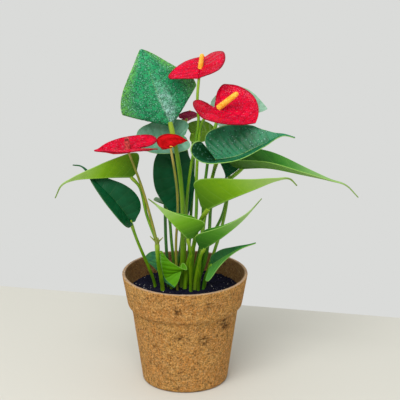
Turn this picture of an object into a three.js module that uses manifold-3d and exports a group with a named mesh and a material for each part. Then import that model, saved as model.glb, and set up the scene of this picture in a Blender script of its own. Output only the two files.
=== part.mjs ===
// Potted anthurium: a tapered pot of pressed coconut fibre, filled with potting soil, in which a young
// anthurium stands. Millimetres, +Z up, origin at the centre of the pot's flat base.
// The front is -Y, and +X is on the right-hand side as seen from there.
import * as THREE from 'three'
import { mergeVertices } from 'three/addons/utils/BufferGeometryUtils.js'
import Module from 'manifold-3d'

const wasm = await Module()
wasm.setup()

// Driving dimensions of the pot and the soil, in millimetres.
const POT_HEIGHT = 117
const RIM_RADIUS = 65 // outside, at the very top
const COLLAR_RADIUS = 59.4 // outside, at the lower end of the collar
const COLLAR_END = 84 // height at which the collar stops
const COLLAR_STEP = 4 // height over which it falls back to the wall
const NECK_RADIUS = 55.3 // outside of the wall just under the collar
const BASE_RADIUS = 44.8
const BASE_ROUNDING = 4
const WALL = 4
const FLOOR = 5
const RIM_ROUNDING = 1
const HUB_RADIUS = 4 // innermost ring of the round pieces' end faces
const POT_SIDES = 36
const REST_GAP = 0.3 // left between pieces that touch on the real plant
const SOIL_TOP = 98 // mean height of the soil
const SOIL_CLOD = 1.4 // how far clods rise or dip
const SOIL_RINGS = 5
const SOIL_HUB = 3 // radius of the innermost ring of the soil's surface
const STALK_FOOT = 72 // height of the stalks' lower ends, inside the soil

// Driving dimensions that all stalks, leaves and flowers share.
const LEAF_THICKNESS = 0.8
const SPATHE_THICKNESS = 0.9
const MIDRIB_RISE = 0.7 // how far the midrib stands out under a leaf
const SPATHE_RISE = 0.2 // the same under a spathe
const BRACT_THICKNESS = 1
const BLADE_ROWS = 12 // steps along a blade
const BLADE_COLUMNS = 3 // steps from the midrib to the edge
const VEIN_SPREAD = 1.2 // above 1, the veins leave the midrib closer together near the joint
const VEIN_BEND = 0.06 // how far the veins swing back before they turn to the tip, as a share of the length
const FLATTENING = 0.3 // share of its fold that a leaf has lost at the tip
const RIPPLE_START = 6 // distance from the midrib at which an edge's waves have their full height
const TUBE_SIDES = 6
const JOINT_SWELL = 0.25 // share by which a stalk thickens just under its blade
const SWELL_PLACE = 0.95 // where along the stalk that is
const SWELL_LENGTH = 0.06
const LEAF_SEAT = 0.04 // how far along its midrib a leaf grows on its stalk, as a share
const CUT_SIZE = 6 // half the width of the block that cuts a flower's stalk off flat
const STALK_SEAT = 0.12 // how far along its midrib a spathe sits on its stalk, as a share
const SPADIX_SIDES = 12
const SPADIX_STEPS = 12
const SPADIX_TAPER = 0.18 // share of its radius that a spadix loses towards its tip
const BLUNT_START = 0.86 // share of the length at which the tip begins to round off
const FLORET_RISE = 0.16 // share of the radius by which florets stand out
const FLORET_DIP = 0.08 // and by which the gaps between them lie back

// Half of a blade's outline, from the back of its lobe round to the tip, laid flat:
// [along the midrib as a share of its length, sideways as a share of the half width].
const LEAF_OUTLINE = [
  [-0.04, 0.4],
  [-0.08, 0.76],
  [-0.06, 0.96],
  [0.03, 0.98],
  [0.18, 0.83],
  [0.34, 0.63],
  [0.48, 0.43],
  [0.61, 0.24],
  [0.73, 0.09],
  [0.85, 0.045],
  [1.0, 0.025],
]
const FORWARD_OUTLINE = [
  [0.0, 0.35],
  [0.01, 0.7],
  [0.04, 0.94],
  [0.11, 0.99],
  [0.24, 0.84],
  [0.38, 0.62],
  [0.52, 0.42],
  [0.66, 0.24],
  [0.78, 0.1],
  [0.88, 0.05],
  [1.0, 0.025],
]
const BROAD_OUTLINE = [
  [-0.04, 0.25],
  [-0.04, 0.55],
  [0.06, 0.84],
  [0.24, 1.0],
  [0.42, 1.0],
  [0.56, 0.84],
  [0.7, 0.6],
  [0.82, 0.38],
  [0.93, 0.18],
  [1.0, 0.03],
]
const CORDATE_OUTLINE = [
  [-0.02, 0.12],
  [-0.08, 0.36],
  [-0.1, 0.65],
  [-0.06, 0.88],
  [0.06, 1.0],
  [0.24, 1.04],
  [0.42, 0.94],
  [0.57, 0.7],
  [0.69, 0.4],
  [0.79, 0.15],
  [0.88, 0.05],
  [1.0, 0.025],
]
const ROUND_OUTLINE = [
  [-0.03, 0.3],
  [-0.05, 0.66],
  [-0.02, 0.92],
  [0.1, 1.0],
  [0.3, 0.9],
  [0.54, 0.68],
  [0.76, 0.42],
  [0.92, 0.18],
  [1.0, 0.05],
]
const OVATE_OUTLINE = [
  [0.0, 0.3],
  [0.02, 0.62],
  [0.1, 0.9],
  [0.24, 1.0],
  [0.4, 0.86],
  [0.54, 0.6],
  [0.66, 0.36],
  [0.76, 0.14],
  [0.86, 0.05],
  [1.0, 0.025],
]
const ROLLED_OUTLINE = [
  [-0.12, 0.03],
  [-0.26, 0.07],
  [-0.36, 0.15],
  [-0.37, 0.38],
  [-0.3, 0.65],
  [-0.18, 0.82],
  [-0.04, 0.86],
  [0.1, 0.82],
  [0.22, 0.72],
  [0.38, 0.56],
  [0.52, 0.42],
  [0.64, 0.27],
  [0.75, 0.12],
  [0.86, 0.05],
  [1.0, 0.025],
]
const LONG_LOBED_OUTLINE = [
  [-0.3, 0.06],
  [-0.6, 0.25],
  [-0.74, 0.55],
  [-0.6, 0.88],
  [-0.2, 1.0],
  [0.2, 0.93],
  [0.5, 0.7],
  [0.75, 0.4],
  [0.9, 0.15],
  [1.0, 0.03],
]
const BLUNT_OUTLINE = [
  [-0.04, 0.25],
  [-0.12, 0.55],
  [-0.06, 0.84],
  [0.2, 1.0],
  [0.5, 0.98],
  [0.72, 0.85],
  [0.89, 0.6],
  [0.98, 0.3],
  [1.0, 0.06],
]
const DROOPING_OUTLINE = [
  [0.0, 0.06],
  [0.1, 0.17],
  [0.18, 0.27],
  [0.32, 0.5],
  [0.5, 0.93],
  [0.64, 1.0],
  [0.76, 0.98],
  [0.88, 0.8],
  [0.96, 0.45],
  [1.0, 0.06],
]
const SHORT_OUTLINE = [
  [0.0, 0.2],
  [0.02, 0.5],
  [0.12, 0.76],
  [0.22, 0.72],
  [0.34, 0.48],
  [0.53, 0.2],
  [0.75, 0.1],
  [1.0, 0.05],
]
const NARROW_OUTLINE = [
  [0.0, 0.2],
  [0.01, 0.4],
  [0.05, 0.52],
  [0.2, 0.56],
  [0.36, 0.48],
  [0.52, 0.32],
  [0.7, 0.16],
  [0.85, 0.06],
  [1.0, 0.03],
]
const SLIM_OUTLINE = [
  [-0.06, 0.4],
  [-0.12, 0.8],
  [-0.06, 0.98],
  [0.04, 0.86],
  [0.16, 0.58],
  [0.3, 0.34],
  [0.48, 0.18],
  [0.72, 0.08],
  [1.0, 0.03],
]
const SPATHE_OUTLINE = [
  [-0.2, 0.05],
  [-0.4, 0.25],
  [-0.48, 0.56],
  [-0.38, 0.86],
  [-0.08, 1.0],
  [0.24, 0.94],
  [0.52, 0.74],
  [0.74, 0.47],
  [0.9, 0.2],
  [1.0, 0.04],
]
const BRACT_OUTLINE = [
  [0.0, 0.6],
  [0.2, 0.95],
  [0.45, 1.0],
  [0.75, 0.6],
  [1.0, 0.2],
]

const vec = (p) => new THREE.Vector3(p[0], p[1], p[2])
const radians = (degrees) => (degrees * Math.PI) / 180
const mix = (a, b, t) => a + (b - a) * t

// A closed triangle mesh as a solid.
function solid(positions, triangles) {
  let geometry = new THREE.BufferGeometry()
  geometry.setAttribute('position', new THREE.Float32BufferAttribute(positions, 3))
  geometry.setIndex(triangles)
  geometry = mergeVertices(geometry, 1e-4)
  return new wasm.Manifold(
    new wasm.Mesh({
      numProp: 3,
      vertProperties: new Float32Array(geometry.attributes.position.array),
      triVerts: new Uint32Array(geometry.index.array),
    }),
  )
}

function union(solids) {
  return solids.reduce((sum, next) => sum.add(next))
}

// The largest of the loose bodies that a cut may leave.
function largest(body) {
  const pieces = body.decompose()
  return pieces.reduce((best, piece) => (piece.volume() > best.volume() ? piece : best))
}

function toMesh(name, body, colour, roughness) {
  const mesh = body.getMesh()
  const geometry = new THREE.BufferGeometry()
  geometry.setAttribute('position', new THREE.Float32BufferAttribute(mesh.vertProperties, 3))
  geometry.setIndex(Array.from(mesh.triVerts))
  geometry.computeVertexNormals()
  const material = new THREE.MeshStandardMaterial({ color: colour, roughness, metalness: 0 })
  const node = new THREE.Mesh(geometry, material)
  node.name = name
  return node
}

// Rings of points, joined to a closed skin. The first and last ring are closed by a fan.
function skin(rings) {
  const sides = rings[0].length
  const positions = rings.flat().flatMap((p) => [p.x, p.y, p.z])
  const triangles = []
  for (let i = 0; i < rings.length - 1; i++) {
    for (let j = 0; j < sides; j++) {
      const a = i * sides + j
      const b = i * sides + ((j + 1) % sides)
      const c = a + sides
      const d = b + sides
      triangles.push(a, b, d, a, d, c)
    }
  }
  for (const [ring, flip] of [[0, true], [rings.length - 1, false]]) {
    const centre = new THREE.Vector3()
    rings[ring].forEach((p) => centre.add(p))
    centre.divideScalar(sides)
    const middle = positions.length / 3
    positions.push(centre.x, centre.y, centre.z)
    for (let j = 0; j < sides; j++) {
      const a = ring * sides + j
      const b = ring * sides + ((j + 1) % sides)
      triangles.push(...(flip ? [middle, b, a] : [middle, a, b]))
    }
  }
  return solid(positions, triangles)
}

// A round stem along a list of points. Its radius goes from the first to the last value, with a
// swelling near the end.
function tube(points, radii, steps, swell = 0, extra = 0) {
  const curve = new THREE.CatmullRomCurve3(points, false, 'centripetal')
  let side = new THREE.Vector3(1, 0, 0)
  const rings = []
  for (let i = 0; i <= steps; i++) {
    const t = i / steps
    const centre = curve.getPoint(t)
    const along = curve.getTangent(t)
    side = side.sub(along.clone().multiplyScalar(side.dot(along))).normalize()
    const across = new THREE.Vector3().crossVectors(along, side)
    const thickening = 1 + swell * Math.exp(-(((t - SWELL_PLACE) / SWELL_LENGTH) ** 2))
    const radius = mix(radii[0], radii[1], t) * thickening + extra
    const ring = []
    for (let j = 0; j < TUBE_SIDES; j++) {
      const angle = (2 * Math.PI * j) / TUBE_SIDES
      ring.push(
        centre
          .clone()
          .addScaledVector(side, radius * Math.cos(angle))
          .addScaledVector(across, radius * Math.sin(angle)),
      )
    }
    rings.push(ring)
  }
  return skin(rings)
}

// The middle surface of a blade at grid position u (along) and v (-1 to 1, across).
// The blade is laid out flat first, then bent about its midrib and carried along the midrib's curve.
function bladeSurface(spec) {
  const midrib = new THREE.CatmullRomCurve3(spec.midrib.map(vec), false, 'centripetal')
  const length = midrib.getLength()
  const outlines = (spec.outlines ?? [spec.outline ?? LEAF_OUTLINE, spec.outline ?? LEAF_OUTLINE]).map(
    (shape) =>
      new THREE.CatmullRomCurve3(
        shape.map(([x, y]) => new THREE.Vector3(x * length, y * spec.halfWidth, 0)),
        false,
        'centripetal',
      ),
  )
  const upStart = vec(spec.up)
  const upEnd = vec(spec.upEnd ?? spec.up)
  const frameAt = (x) => {
    const t = THREE.MathUtils.clamp(x / length, 0, 1)
    const centre = midrib.getPointAt(t)
    const along = midrib.getTangentAt(t)
    const face = upStart.clone().lerp(upEnd, t)
    face.addScaledVector(along, -face.dot(along)).normalize()
    centre.addScaledVector(along, Math.min(x, 0))
    return { centre, along, face, side: new THREE.Vector3().crossVectors(along, face) }
  }
  // Bends what lies behind a slanting line near the joint, so that the lobes curl up or down.
  const curlLobe = (x, y, lobe) => {
    if (!lobe) return [x, y, 0]
    const scale = Math.hypot(1, lobe.slope)
    const depth = (lobe.slope * y - x) / scale - (lobe.start ?? 0)
    if (depth <= 0) return [x, y, 0]
    const limit = radians(Math.abs(lobe.angle))
    const turned = Math.min(depth / lobe.radius, limit)
    const rest = Math.max(0, depth - lobe.radius * limit)
    const inPlane = lobe.radius * Math.sin(turned) + rest * Math.cos(limit)
    const lift = lobe.radius * (1 - Math.cos(turned)) + rest * Math.sin(limit)
    const shift = inPlane - depth
    return [x - shift / scale, y + (shift * lobe.slope) / scale, Math.sign(lobe.angle) * lift]
  }
  // Rolls what lies behind a line from the joint into a cone that has its point at the joint.
  const rollLobe = (x, y, lobe) => {
    const turned = Math.atan2(-x, y) - radians(lobe.from)
    if (turned <= 0) return [x, y, 0]
    const start = radians(lobe.from)
    const reach = Math.hypot(x, y)
    const slant = Math.sin(radians(lobe.cone))
    const slope = Math.cos(radians(lobe.cone))
    const around = turned / slant
    const ahead = slope ** 2 + slant ** 2 * Math.cos(around)
    const aside = slant * Math.sin(around)
    return [
      -reach * (ahead * Math.sin(start) + aside * Math.cos(start)),
      reach * (ahead * Math.cos(start) - aside * Math.sin(start)),
      reach * slant * slope * (1 - Math.cos(around)),
    ]
  }
  const bendLobe = (x, y, lobe) => (lobe?.cone ? rollLobe(x, y, lobe) : curlLobe(x, y, lobe))
  const folds = spec.folds ?? [spec.fold, spec.fold]
  const lobes = spec.lobes ?? [null, null]
  const cups = spec.cups ?? [spec.cup ?? 0, spec.cup ?? 0]
  return (u, v) => {
    const across = Math.abs(v)
    const half = v < 0 ? 0 : 1
    const rim = outlines[half].getPoint(u)
    const root = length * u ** VEIN_SPREAD
    const bend = (spec.veinBend ?? VEIN_BEND) * length * (1 - u) ** 2
    const middle = (root + rim.x) / 2 - bend
    const flatX = (1 - across) ** 2 * root + 2 * across * (1 - across) * middle + across ** 2 * rim.x
    const [x, y, lift] = bendLobe(flatX, across * rim.y, lobes[half])
    const place = frameAt(x)
    const ease = 1 - (spec.flatten ?? FLATTENING) * THREE.MathUtils.clamp(x / length, 0, 1)
    const angle = radians(folds[half] * ease + (cups[half] * y) / (2 * spec.halfWidth))
    const height = (spec.ripple ?? 0) * across ** 2 * Math.min(1, y / RIPPLE_START)
    const wave = height * Math.sin((4 * Math.PI * x) / length)
    return place.centre
      .clone()
      .addScaledVector(place.side, Math.sign(v) * y * Math.cos(angle))
      .addScaledVector(place.face, y * Math.sin(angle) + wave + lift)
  }
}

// A blade as a closed solid: the middle surface set out by half a thickness to both sides.
function blade(spec, thickness = LEAF_THICKNESS, rows = BLADE_ROWS, columns = BLADE_COLUMNS) {
  const surface = bladeSurface(spec)
  const across = 2 * columns
  const middle = []
  for (let i = 0; i <= rows; i++) {
    const row = []
    for (let j = 0; j <= across; j++) row.push(surface(i / rows, j / columns - 1))
    middle.push(row)
  }
  const normalAt = (i, j) => {
    const along = middle[Math.min(i + 1, rows)][j].clone().sub(middle[Math.max(i - 1, 0)][j])
    const sideways = middle[i][Math.min(j + 1, across)].clone().sub(middle[i][Math.max(j - 1, 0)])
    return sideways.cross(along).normalize()
  }
  const top = []
  const bottom = []
  for (let i = 0; i <= rows; i++) {
    for (let j = 0; j <= across; j++) {
      const normal = normalAt(i, j)
      const rib = j === columns ? (spec.rise ?? MIDRIB_RISE) * (1 - i / rows) : 0
      top.push(middle[i][j].clone().addScaledVector(normal, thickness / 2))
      bottom.push(middle[i][j].clone().addScaledVector(normal, -thickness / 2 - rib))
    }
  }
  const positions = [...top, ...bottom].flatMap((p) => [p.x, p.y, p.z])
  const width = across + 1
  const under = top.length
  const triangles = []
  for (let i = 0; i < rows; i++) {
    for (let j = 0; j < across; j++) {
      const a = i * width + j
      const b = a + 1
      const c = a + width
      const d = c + 1
      const split = j < columns ? [[a, b, d], [a, d, c]] : [[a, b, c], [b, d, c]]
      for (const [p, q, r] of split) triangles.push(p, q, r, under + p, under + r, under + q)
    }
  }
  const edge = []
  for (let j = 0; j < across; j++) edge.push(j)
  for (let i = 0; i < rows; i++) edge.push(i * width + across)
  for (let j = across; j > 0; j--) edge.push(rows * width + j)
  for (let i = rows; i > 0; i--) edge.push(i * width)
  edge.forEach((a, k) => {
    const b = edge[(k + 1) % edge.length]
    triangles.push(b, a, under + a, b, under + a, under + b)
  })
  const body = solid(positions, triangles)
  return body.volume() < 0 ? solid(positions, triangles.reverse()) : body
}

// The middle line of a stalk, from its foot inside the soil past the points in by to the blade's joint.
function stalkPoints(foot, by, end) {
  const deep = [foot[0], foot[1], STALK_FOOT]
  const ground = [foot[0], foot[1], SOIL_TOP + 1]
  return [deep, ground, ...by, end].map(vec)
}

function stalk(spec, end, extra = 0) {
  const points = stalkPoints(spec.foot, spec.by, end)
  if (extra > 0) points[0].z -= extra
  return tube(points, spec.radii, spec.steps ?? 10, extra > 0 ? 0 : JOINT_SWELL, extra)
}

// The leaves: where each stands, how its stalk runs, and how its blade lies. Midrib and by are points
// in millimetres, up is the way the blade faces, and fold is how far its halves are raised, in degrees.
// A lobe with a cone is rolled, and columns gives such a blade more strips across a half.
const LEAVES = [
  {
    name: 'leaf_top',
    colour: 'deep',
    foot: [-3, 7],
    by: [[-2, 5, 180], [-4, 4, 215], [-8, 3, 245]],
    radii: [2.7, 2.2],
    midrib: [[-14, 10, 274], [-29, 12, 309], [-39, 18, 337], [-44, 22, 348]],
    outline: BROAD_OUTLINE,
    halfWidth: 40,
    up: [0.15, -0.9, 0.35],
    fold: 8,
    cup: -18,
    ripple: 1.2,
    lobes: [{ slope: 0.8, angle: -110, radius: 3 }, { slope: 0.65, angle: -110, radius: 3 }],
  },
  {
    name: 'leaf_behind_left',
    colour: 'grey',
    foot: [-11, 11],
    by: [[-4, 20, 140], [0, 30, 185], [4, 31, 222]],
    radii: [1.8, 1.5],
    midrib: [[-1, 22, 257], [-18, 21, 256], [-35, 18, 256], [-49, 14, 260]],
    outline: BLUNT_OUTLINE,
    halfWidth: 18,
    up: [0.1, -0.85, 0.5],
    fold: 12,
  },
  {
    name: 'leaf_hanging_centre',
    colour: 'dark',
    foot: [-17, 7],
    by: [[-20, 16, 154], [-20, 28, 190], [-17, 30, 220]],
    radii: [1.8, 1.5],
    midrib: [[-14, 24, 239], [-11, 20, 211], [-5, 17, 180], [-1, 16, 159]],
    outline: BROAD_OUTLINE,
    halfWidth: 21,
    up: [0.1, -0.95, 0.2],
    fold: 8,
  },
  {
    name: 'leaf_left_dark',
    colour: 'dark',
    foot: [-31, 6],
    by: [[-38, -4, 126], [-43, -10, 141], [-49, -17, 160]],
    radii: [1.7, 1.5],
    midrib: [[-54, -22, 180], [-69, -27, 203], [-92, -24, 227], [-103, -20, 238], [-112, -18, 239]],
    outline: OVATE_OUTLINE,
    halfWidth: 21,
    up: [0.35, -0.85, 0.35],
    folds: [52, 8],
  },
  {
    name: 'leaf_centre_lime',
    colour: 'bright',
    foot: [6, -6],
    by: [[6, -16, 126], [6, -30, 149]],
    radii: [1.9, 1.5],
    midrib: [[4, -38, 167], [-14, -42, 188], [-28, -44, 205], [-36, -44, 212]],
    outline: FORWARD_OUTLINE,
    halfWidth: 25,
    up: [0.62, 0.36, 0.69],
    fold: 62,
  },
  {
    name: 'leaf_right_lime',
    colour: 'lime',
    foot: [0, 0],
    by: [[3, -2, 126], [9, -12, 150], [14, -20, 176]],
    radii: [2.4, 2.1],
    midrib: [
      [22, -31, 196],
      [44, -35, 208],
      [70, -38, 220],
      [91, -39, 229],
      [104, -39, 231],
      [112, -39, 224],
    ],
    outline: FORWARD_OUTLINE,
    halfWidth: 34,
    up: [-0.35, 0.39, 0.84],
    fold: 60,
  },
  {
    name: 'leaf_right_mid',
    colour: 'mid',
    foot: [14, -3],
    by: [[15, -14, 119], [16, -28, 144]],
    radii: [1.8, 1.5],
    midrib: [[19, -36, 156], [38, -42, 171], [58, -46, 190], [77, -46, 213]],
    outline: FORWARD_OUTLINE,
    halfWidth: 18,
    up: [-0.5, 0.28, 0.8],
    fold: 60,
  },
  {
    name: 'leaf_right_low',
    colour: 'dark',
    foot: [19, -2],
    by: [[20, -4, 108], [23, -9, 120]],
    radii: [1.7, 1.4],
    midrib: [[27, -14, 130], [42, -22, 143], [57, -28, 154], [72, -30, 160]],
    halfWidth: 20,
    outlines: [NARROW_OUTLINE, SLIM_OUTLINE],
    up: [-0.4, -0.2, 0.9],
    folds: [25, -15],
  },
  {
    name: 'leaf_front_low',
    colour: 'bright',
    foot: [-14, 1],
    by: [[-18, 3, 114], [-22, 4, 128]],
    radii: [1.7, 1.4],
    midrib: [[-25, -2, 141], [-24, -6, 127], [-20, -6, 112], [-10, -12, 105]],
    outlines: [DROOPING_OUTLINE, SHORT_OUTLINE],
    halfWidth: 26,
    up: [0, -0.9, 0.4],
    folds: [22, -40],
    veinBend: -0.08,
  },
  {
    name: 'leaf_right_cupped',
    colour: 'teal',
    foot: [10, -1],
    by: [[16, -2, 137], [20, 0, 175], [27, 4, 213]],
    radii: [2.1, 1.8],
    midrib: [[31, -26, 247], [52, -30, 252], [77, -30, 264], [98, -28, 273], [110, -26, 270]],
    outlines: [CORDATE_OUTLINE, ROLLED_OUTLINE],
    halfWidth: 32,
    up: [-0.1, -0.35, 0.93],
    folds: [30, 26],
    cups: [30, 10],
    lobes: [null, { cone: 37, from: -12 }],
    columns: 5,
  },
  {
    name: 'leaf_right_tailed',
    colour: 'mid',
    foot: [13, 6],
    by: [[22, 4, 133], [25, 4, 159], [30, 1, 200]],
    radii: [1.9, 1.6],
    midrib: [[56, -4, 231], [84, -6, 232], [117, -8, 226], [147, -8, 219], [163, -8, 214], [176, -8, 201]],
    halfWidth: 28,
    up: [0.1, 0.0, 1.0],
    fold: 35,
  },
  {
    name: 'leaf_hanging_right',
    colour: 'dark',
    foot: [20, 4],
    by: [[38, 4, 165], [43, 8, 190], [46, 20, 222]],
    radii: [1.8, 1.5],
    midrib: [[48, 16, 236], [45, 12, 224], [40, 12, 210]],
    halfWidth: 15,
    up: [0.0, -0.95, 0.2],
    fold: 10,
  },
  {
    name: 'leaf_behind_right',
    colour: 'pale',
    foot: [8, 11],
    by: [[17, 14, 148], [20, 18, 200], [27, 22, 250]],
    radii: [1.8, 1.5],
    midrib: [[33, 23, 276], [57, 27, 289], [84, 29, 284]],
    outline: BROAD_OUTLINE,
    halfWidth: 20,
    up: [-0.2, -0.85, 0.4],
    fold: 12,
  },
  {
    name: 'leaf_behind_olive',
    colour: 'olive',
    foot: [3, 16],
    by: [[5, 24, 150], [8, 32, 200], [9, 36, 235]],
    radii: [1.8, 1.5],
    midrib: [[7, 38, 255], [24, 41, 256], [40, 42, 253]],
    outline: CORDATE_OUTLINE,
    halfWidth: 12,
    up: [0, -0.75, 0.66],
    fold: 12,
  },
  {
    name: 'leaf_back_left',
    colour: 'mid',
    foot: [-10, 20],
    by: [[-14, 26, 140], [-16, 29, 164]],
    radii: [1.8, 1.5],
    midrib: [[-19, 36, 178], [-21, 54, 176], [-22, 74, 169], [-23, 90, 157]],
    halfWidth: 15,
    up: [0.0, -0.1, 1.0],
    fold: 25,
  },
  {
    name: 'leaf_back_right',
    colour: 'mid',
    foot: [12, 20],
    by: [[24, 22, 140], [38, 26, 168]],
    radii: [1.8, 1.5],
    midrib: [[44, 30, 190], [54, 52, 191], [62, 70, 187], [66, 84, 178]],
    halfWidth: 16,
    up: [0.0, -0.1, 1.0],
    fold: 25,
  },
]

// The young shoot on the left, from whose bracts a lime leaf and the left flower's stalk grow.
const SHOOT = {
  foot: [-23, -4],
  by: [[-24, -9, 112], [-27, -17, 135]],
  joint: [-28, -22, 156],
  radii: [2.3, 2.1],
  flowerBy: [[-35, -28, 190], [-43, -33, 222]],
  flowerRadii: [1.5, 1.2],
  leafBy: [[-38, -21, 186], [-45, -25, 218]],
  leafRadii: [1.5, 1.5],
  leaf: {
    midrib: [[-52, -28, 230], [-82, -31, 230], [-111, -34, 228], [-122, -35, 223], [-129, -36, 210]],
    halfWidth: 27,
    up: [0, 0.35, 0.94],
    fold: 60,
  },
  bracts: [
    { toward: [-7, -2, 9], halfWidth: 2.6 },
    { toward: [6, -3, 8], halfWidth: 2.4 },
    { toward: [1, -6, 9], halfWidth: 2.4 },
  ],
}

// The flowers: stalk, spathe and spadix of each. Toward leads from the spadix's foot to its tip.
const FLOWERS = [
  {
    name: 'flower_top',
    foot: [-1, 13],
    by: [[2, 10, 189], [6, 4, 227], [14, 2, 276], [13, -1, 304]],
    radii: [1.8, 1.4],
    spathe: {
      midrib: [[14, -4, 325], [17, 16, 334], [21, 30, 338]],
      outlines: [ROUND_OUTLINE, BLUNT_OUTLINE],
      halfWidth: 31,
      up: [-0.36, -0.3, 0.9],
      fold: 25,
      cup: -20,
    },
    spadix: { at: 0.46, toward: [2, -1, 16], radius: 2.4 },
  },
  {
    name: 'flower_right',
    foot: [6, 3],
    by: [[12, 3, 185], [12, 2, 218], [15, 0, 263], [20, -6, 284]],
    radii: [1.9, 1.5],
    spathe: {
      midrib: [[30, -14, 298], [50, -20, 292], [71, -26, 286]],
      outlines: [BLUNT_OUTLINE, SPATHE_OUTLINE],
      halfWidth: 32,
      up: [0.1, -0.6, 0.8],
      folds: [0, 20],
      cup: 15,
      lobes: [{ slope: 0.15, angle: 90, radius: 6 }, { slope: 0, angle: 40, radius: 8 }],
    },
    spadix: { toward: [20, -9, 19], radius: 2.9 },
  },
  {
    name: 'flower_centre',
    foot: [-8, -3],
    by: [[-9, -3, 150], [-7, -7, 185], [-8, -12, 215]],
    radii: [1.5, 1.2],
    spathe: {
      midrib: [[-15, -18, 257], [-5, -18, 261], [3, -16, 264]],
      halfWidth: 18,
      up: [0.1, 0.5, 0.85],
      fold: 35,
    },
    spadix: { toward: [1, 3, 9], radius: 2 },
  },
  {
    name: 'flower_back',
    foot: [-5, 21],
    by: [[-3, 31, 150], [-5, 38, 200], [-4, 42, 245]],
    radii: [1.5, 1.2],
    spathe: {
      midrib: [[1, 43, 270], [8, 44, 272], [15, 44, 272]],
      halfWidth: 9,
      up: [0, 0.75, 0.66],
      fold: 10,
    },
    spadix: { at: 0.3, toward: [1, 8, 4], radius: 1.8 },
  },
]
// The left flower stands on the shoot's own stalk.
const LEFT_FLOWER = {
  name: 'flower_left',
  spathe: {
    midrib: [[-53, -41, 263], [-71, -42, 262], [-89, -43, 262]],
    outline: LONG_LOBED_OUTLINE,
    halfWidth: 24,
    up: [-0.25, -0.05, 1.0],
    fold: 8,
    cup: 10,
  },
  spadix: { toward: [-1, -1, 13], radius: 2.6 },
}

const COLOURS = {
  deep: 0x2a7a50,
  teal: 0x1f6b50,
  mid: 0x3c8a2e,
  dark: 0x0d4a30,
  bright: 0x4e9a20,
  lime: 0x78a818,
  pale: 0x7fa890,
  grey: 0x3f6e58,
  olive: 0x55701c,
  stalk: 0x86a83a,
  spathe: 0xdc1236,
  maroon: 0x6a1028,
  spadix: 0xf0b83c,
  soil: 0x1b1a1e,
  pot: 0xb9803f,
}

// A spadix: a blunt spike whose little florets stand out in spirals.
function spadix(base, spec) {
  const axis = vec(spec.toward)
  const length = axis.length()
  axis.normalize()
  const side = new THREE.Vector3(0, 1, 0).cross(axis).normalize()
  const across = new THREE.Vector3().crossVectors(axis, side)
  const rings = []
  for (let i = 0; i <= SPADIX_STEPS; i++) {
    const t = i / SPADIX_STEPS
    const past = Math.max(0, (t - BLUNT_START) / (1 - BLUNT_START))
    const blunt = Math.sqrt(Math.max(0.04, 1 - past ** 2))
    const ring = []
    for (let j = 0; j < SPADIX_SIDES; j++) {
      const floret = (i + j) % 2 === 0 ? FLORET_RISE : -FLORET_DIP
      const radius = spec.radius * (1 - SPADIX_TAPER * t) * blunt * (1 + floret)
      const angle = (2 * Math.PI * j) / SPADIX_SIDES
      ring.push(
        base
          .clone()
          .addScaledVector(axis, length * t)
          .addScaledVector(side, radius * Math.cos(angle))
          .addScaledVector(across, radius * Math.sin(angle)),
      )
    }
    rings.push(ring)
  }
  return skin(rings)
}

// The spathe and spadix of one flower. A small gap is left where they and the stalk meet.
function bloom(spec) {
  const shape = { outline: SPATHE_OUTLINE, rise: SPATHE_RISE, veinBend: 0.02, flatten: 0, ...spec.spathe }
  const surface = bladeSurface(shape)
  const spathe = blade(shape, SPATHE_THICKNESS)
  const keepOut = blade(shape, SPATHE_THICKNESS + 3 * REST_GAP)
  const joint = surface(STALK_SEAT, 0)
  const seat = surface(spec.spadix.at ?? STALK_SEAT, 0)
  const spike = largest(spadix(seat, spec.spadix).subtract(keepOut))
  const along = surface(STALK_SEAT + 0.1, 0).sub(surface(STALK_SEAT - 0.1, 0)).normalize()
  const face = vec(shape.up)
  face.addScaledVector(along, -face.dot(along)).normalize()
  return { spathe, joint, face, spike }
}

// Cuts a stalk off flat, just short of the underside of its spathe.
function cutUnder(stem, joint, face) {
  const side = new THREE.Vector3(1, 0, 0)
  side.addScaledVector(face, -side.dot(face)).normalize()
  const across = new THREE.Vector3().crossVectors(face, side)
  const square = [[1, 1], [-1, 1], [-1, -1], [1, -1]]
  const under = -(SPATHE_THICKNESS / 2 + SPATHE_RISE + REST_GAP)
  const block = skin(
    [under, CUT_SIZE].map((height) =>
      square.map(([x, y]) =>
        joint
          .clone()
          .addScaledVector(face, height)
          .addScaledVector(side, x * CUT_SIZE)
          .addScaledVector(across, y * CUT_SIZE),
      ),
    ),
  )
  return largest(stem.subtract(block))
}

// A solid of revolution about the vertical axis, from [radius, height] pairs.
function revolve(profile, sides, shape = (radius, height) => [radius, height]) {
  return skin(
    profile.map(([radius, height]) => {
      const ring = []
      for (let j = 0; j < sides; j++) {
        const angle = (2 * Math.PI * j) / sides
        const [r, z] = shape(radius, height, angle)
        ring.push(new THREE.Vector3(r * Math.cos(angle), r * Math.sin(angle), z))
      }
      return ring
    }),
  )
}

// The inside of the wall at a height, which follows the outside one wall thickness further in.
function insideRadius(z) {
  const heights = [0, COLLAR_END - COLLAR_STEP, COLLAR_END, POT_HEIGHT]
  const outside = [BASE_RADIUS, NECK_RADIUS, COLLAR_RADIUS, RIM_RADIUS]
  const k = z < heights[1] ? 0 : z < heights[2] ? 1 : 2
  const share = (z - heights[k]) / (heights[k + 1] - heights[k])
  return mix(outside[k], outside[k + 1], share) - WALL
}

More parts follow.
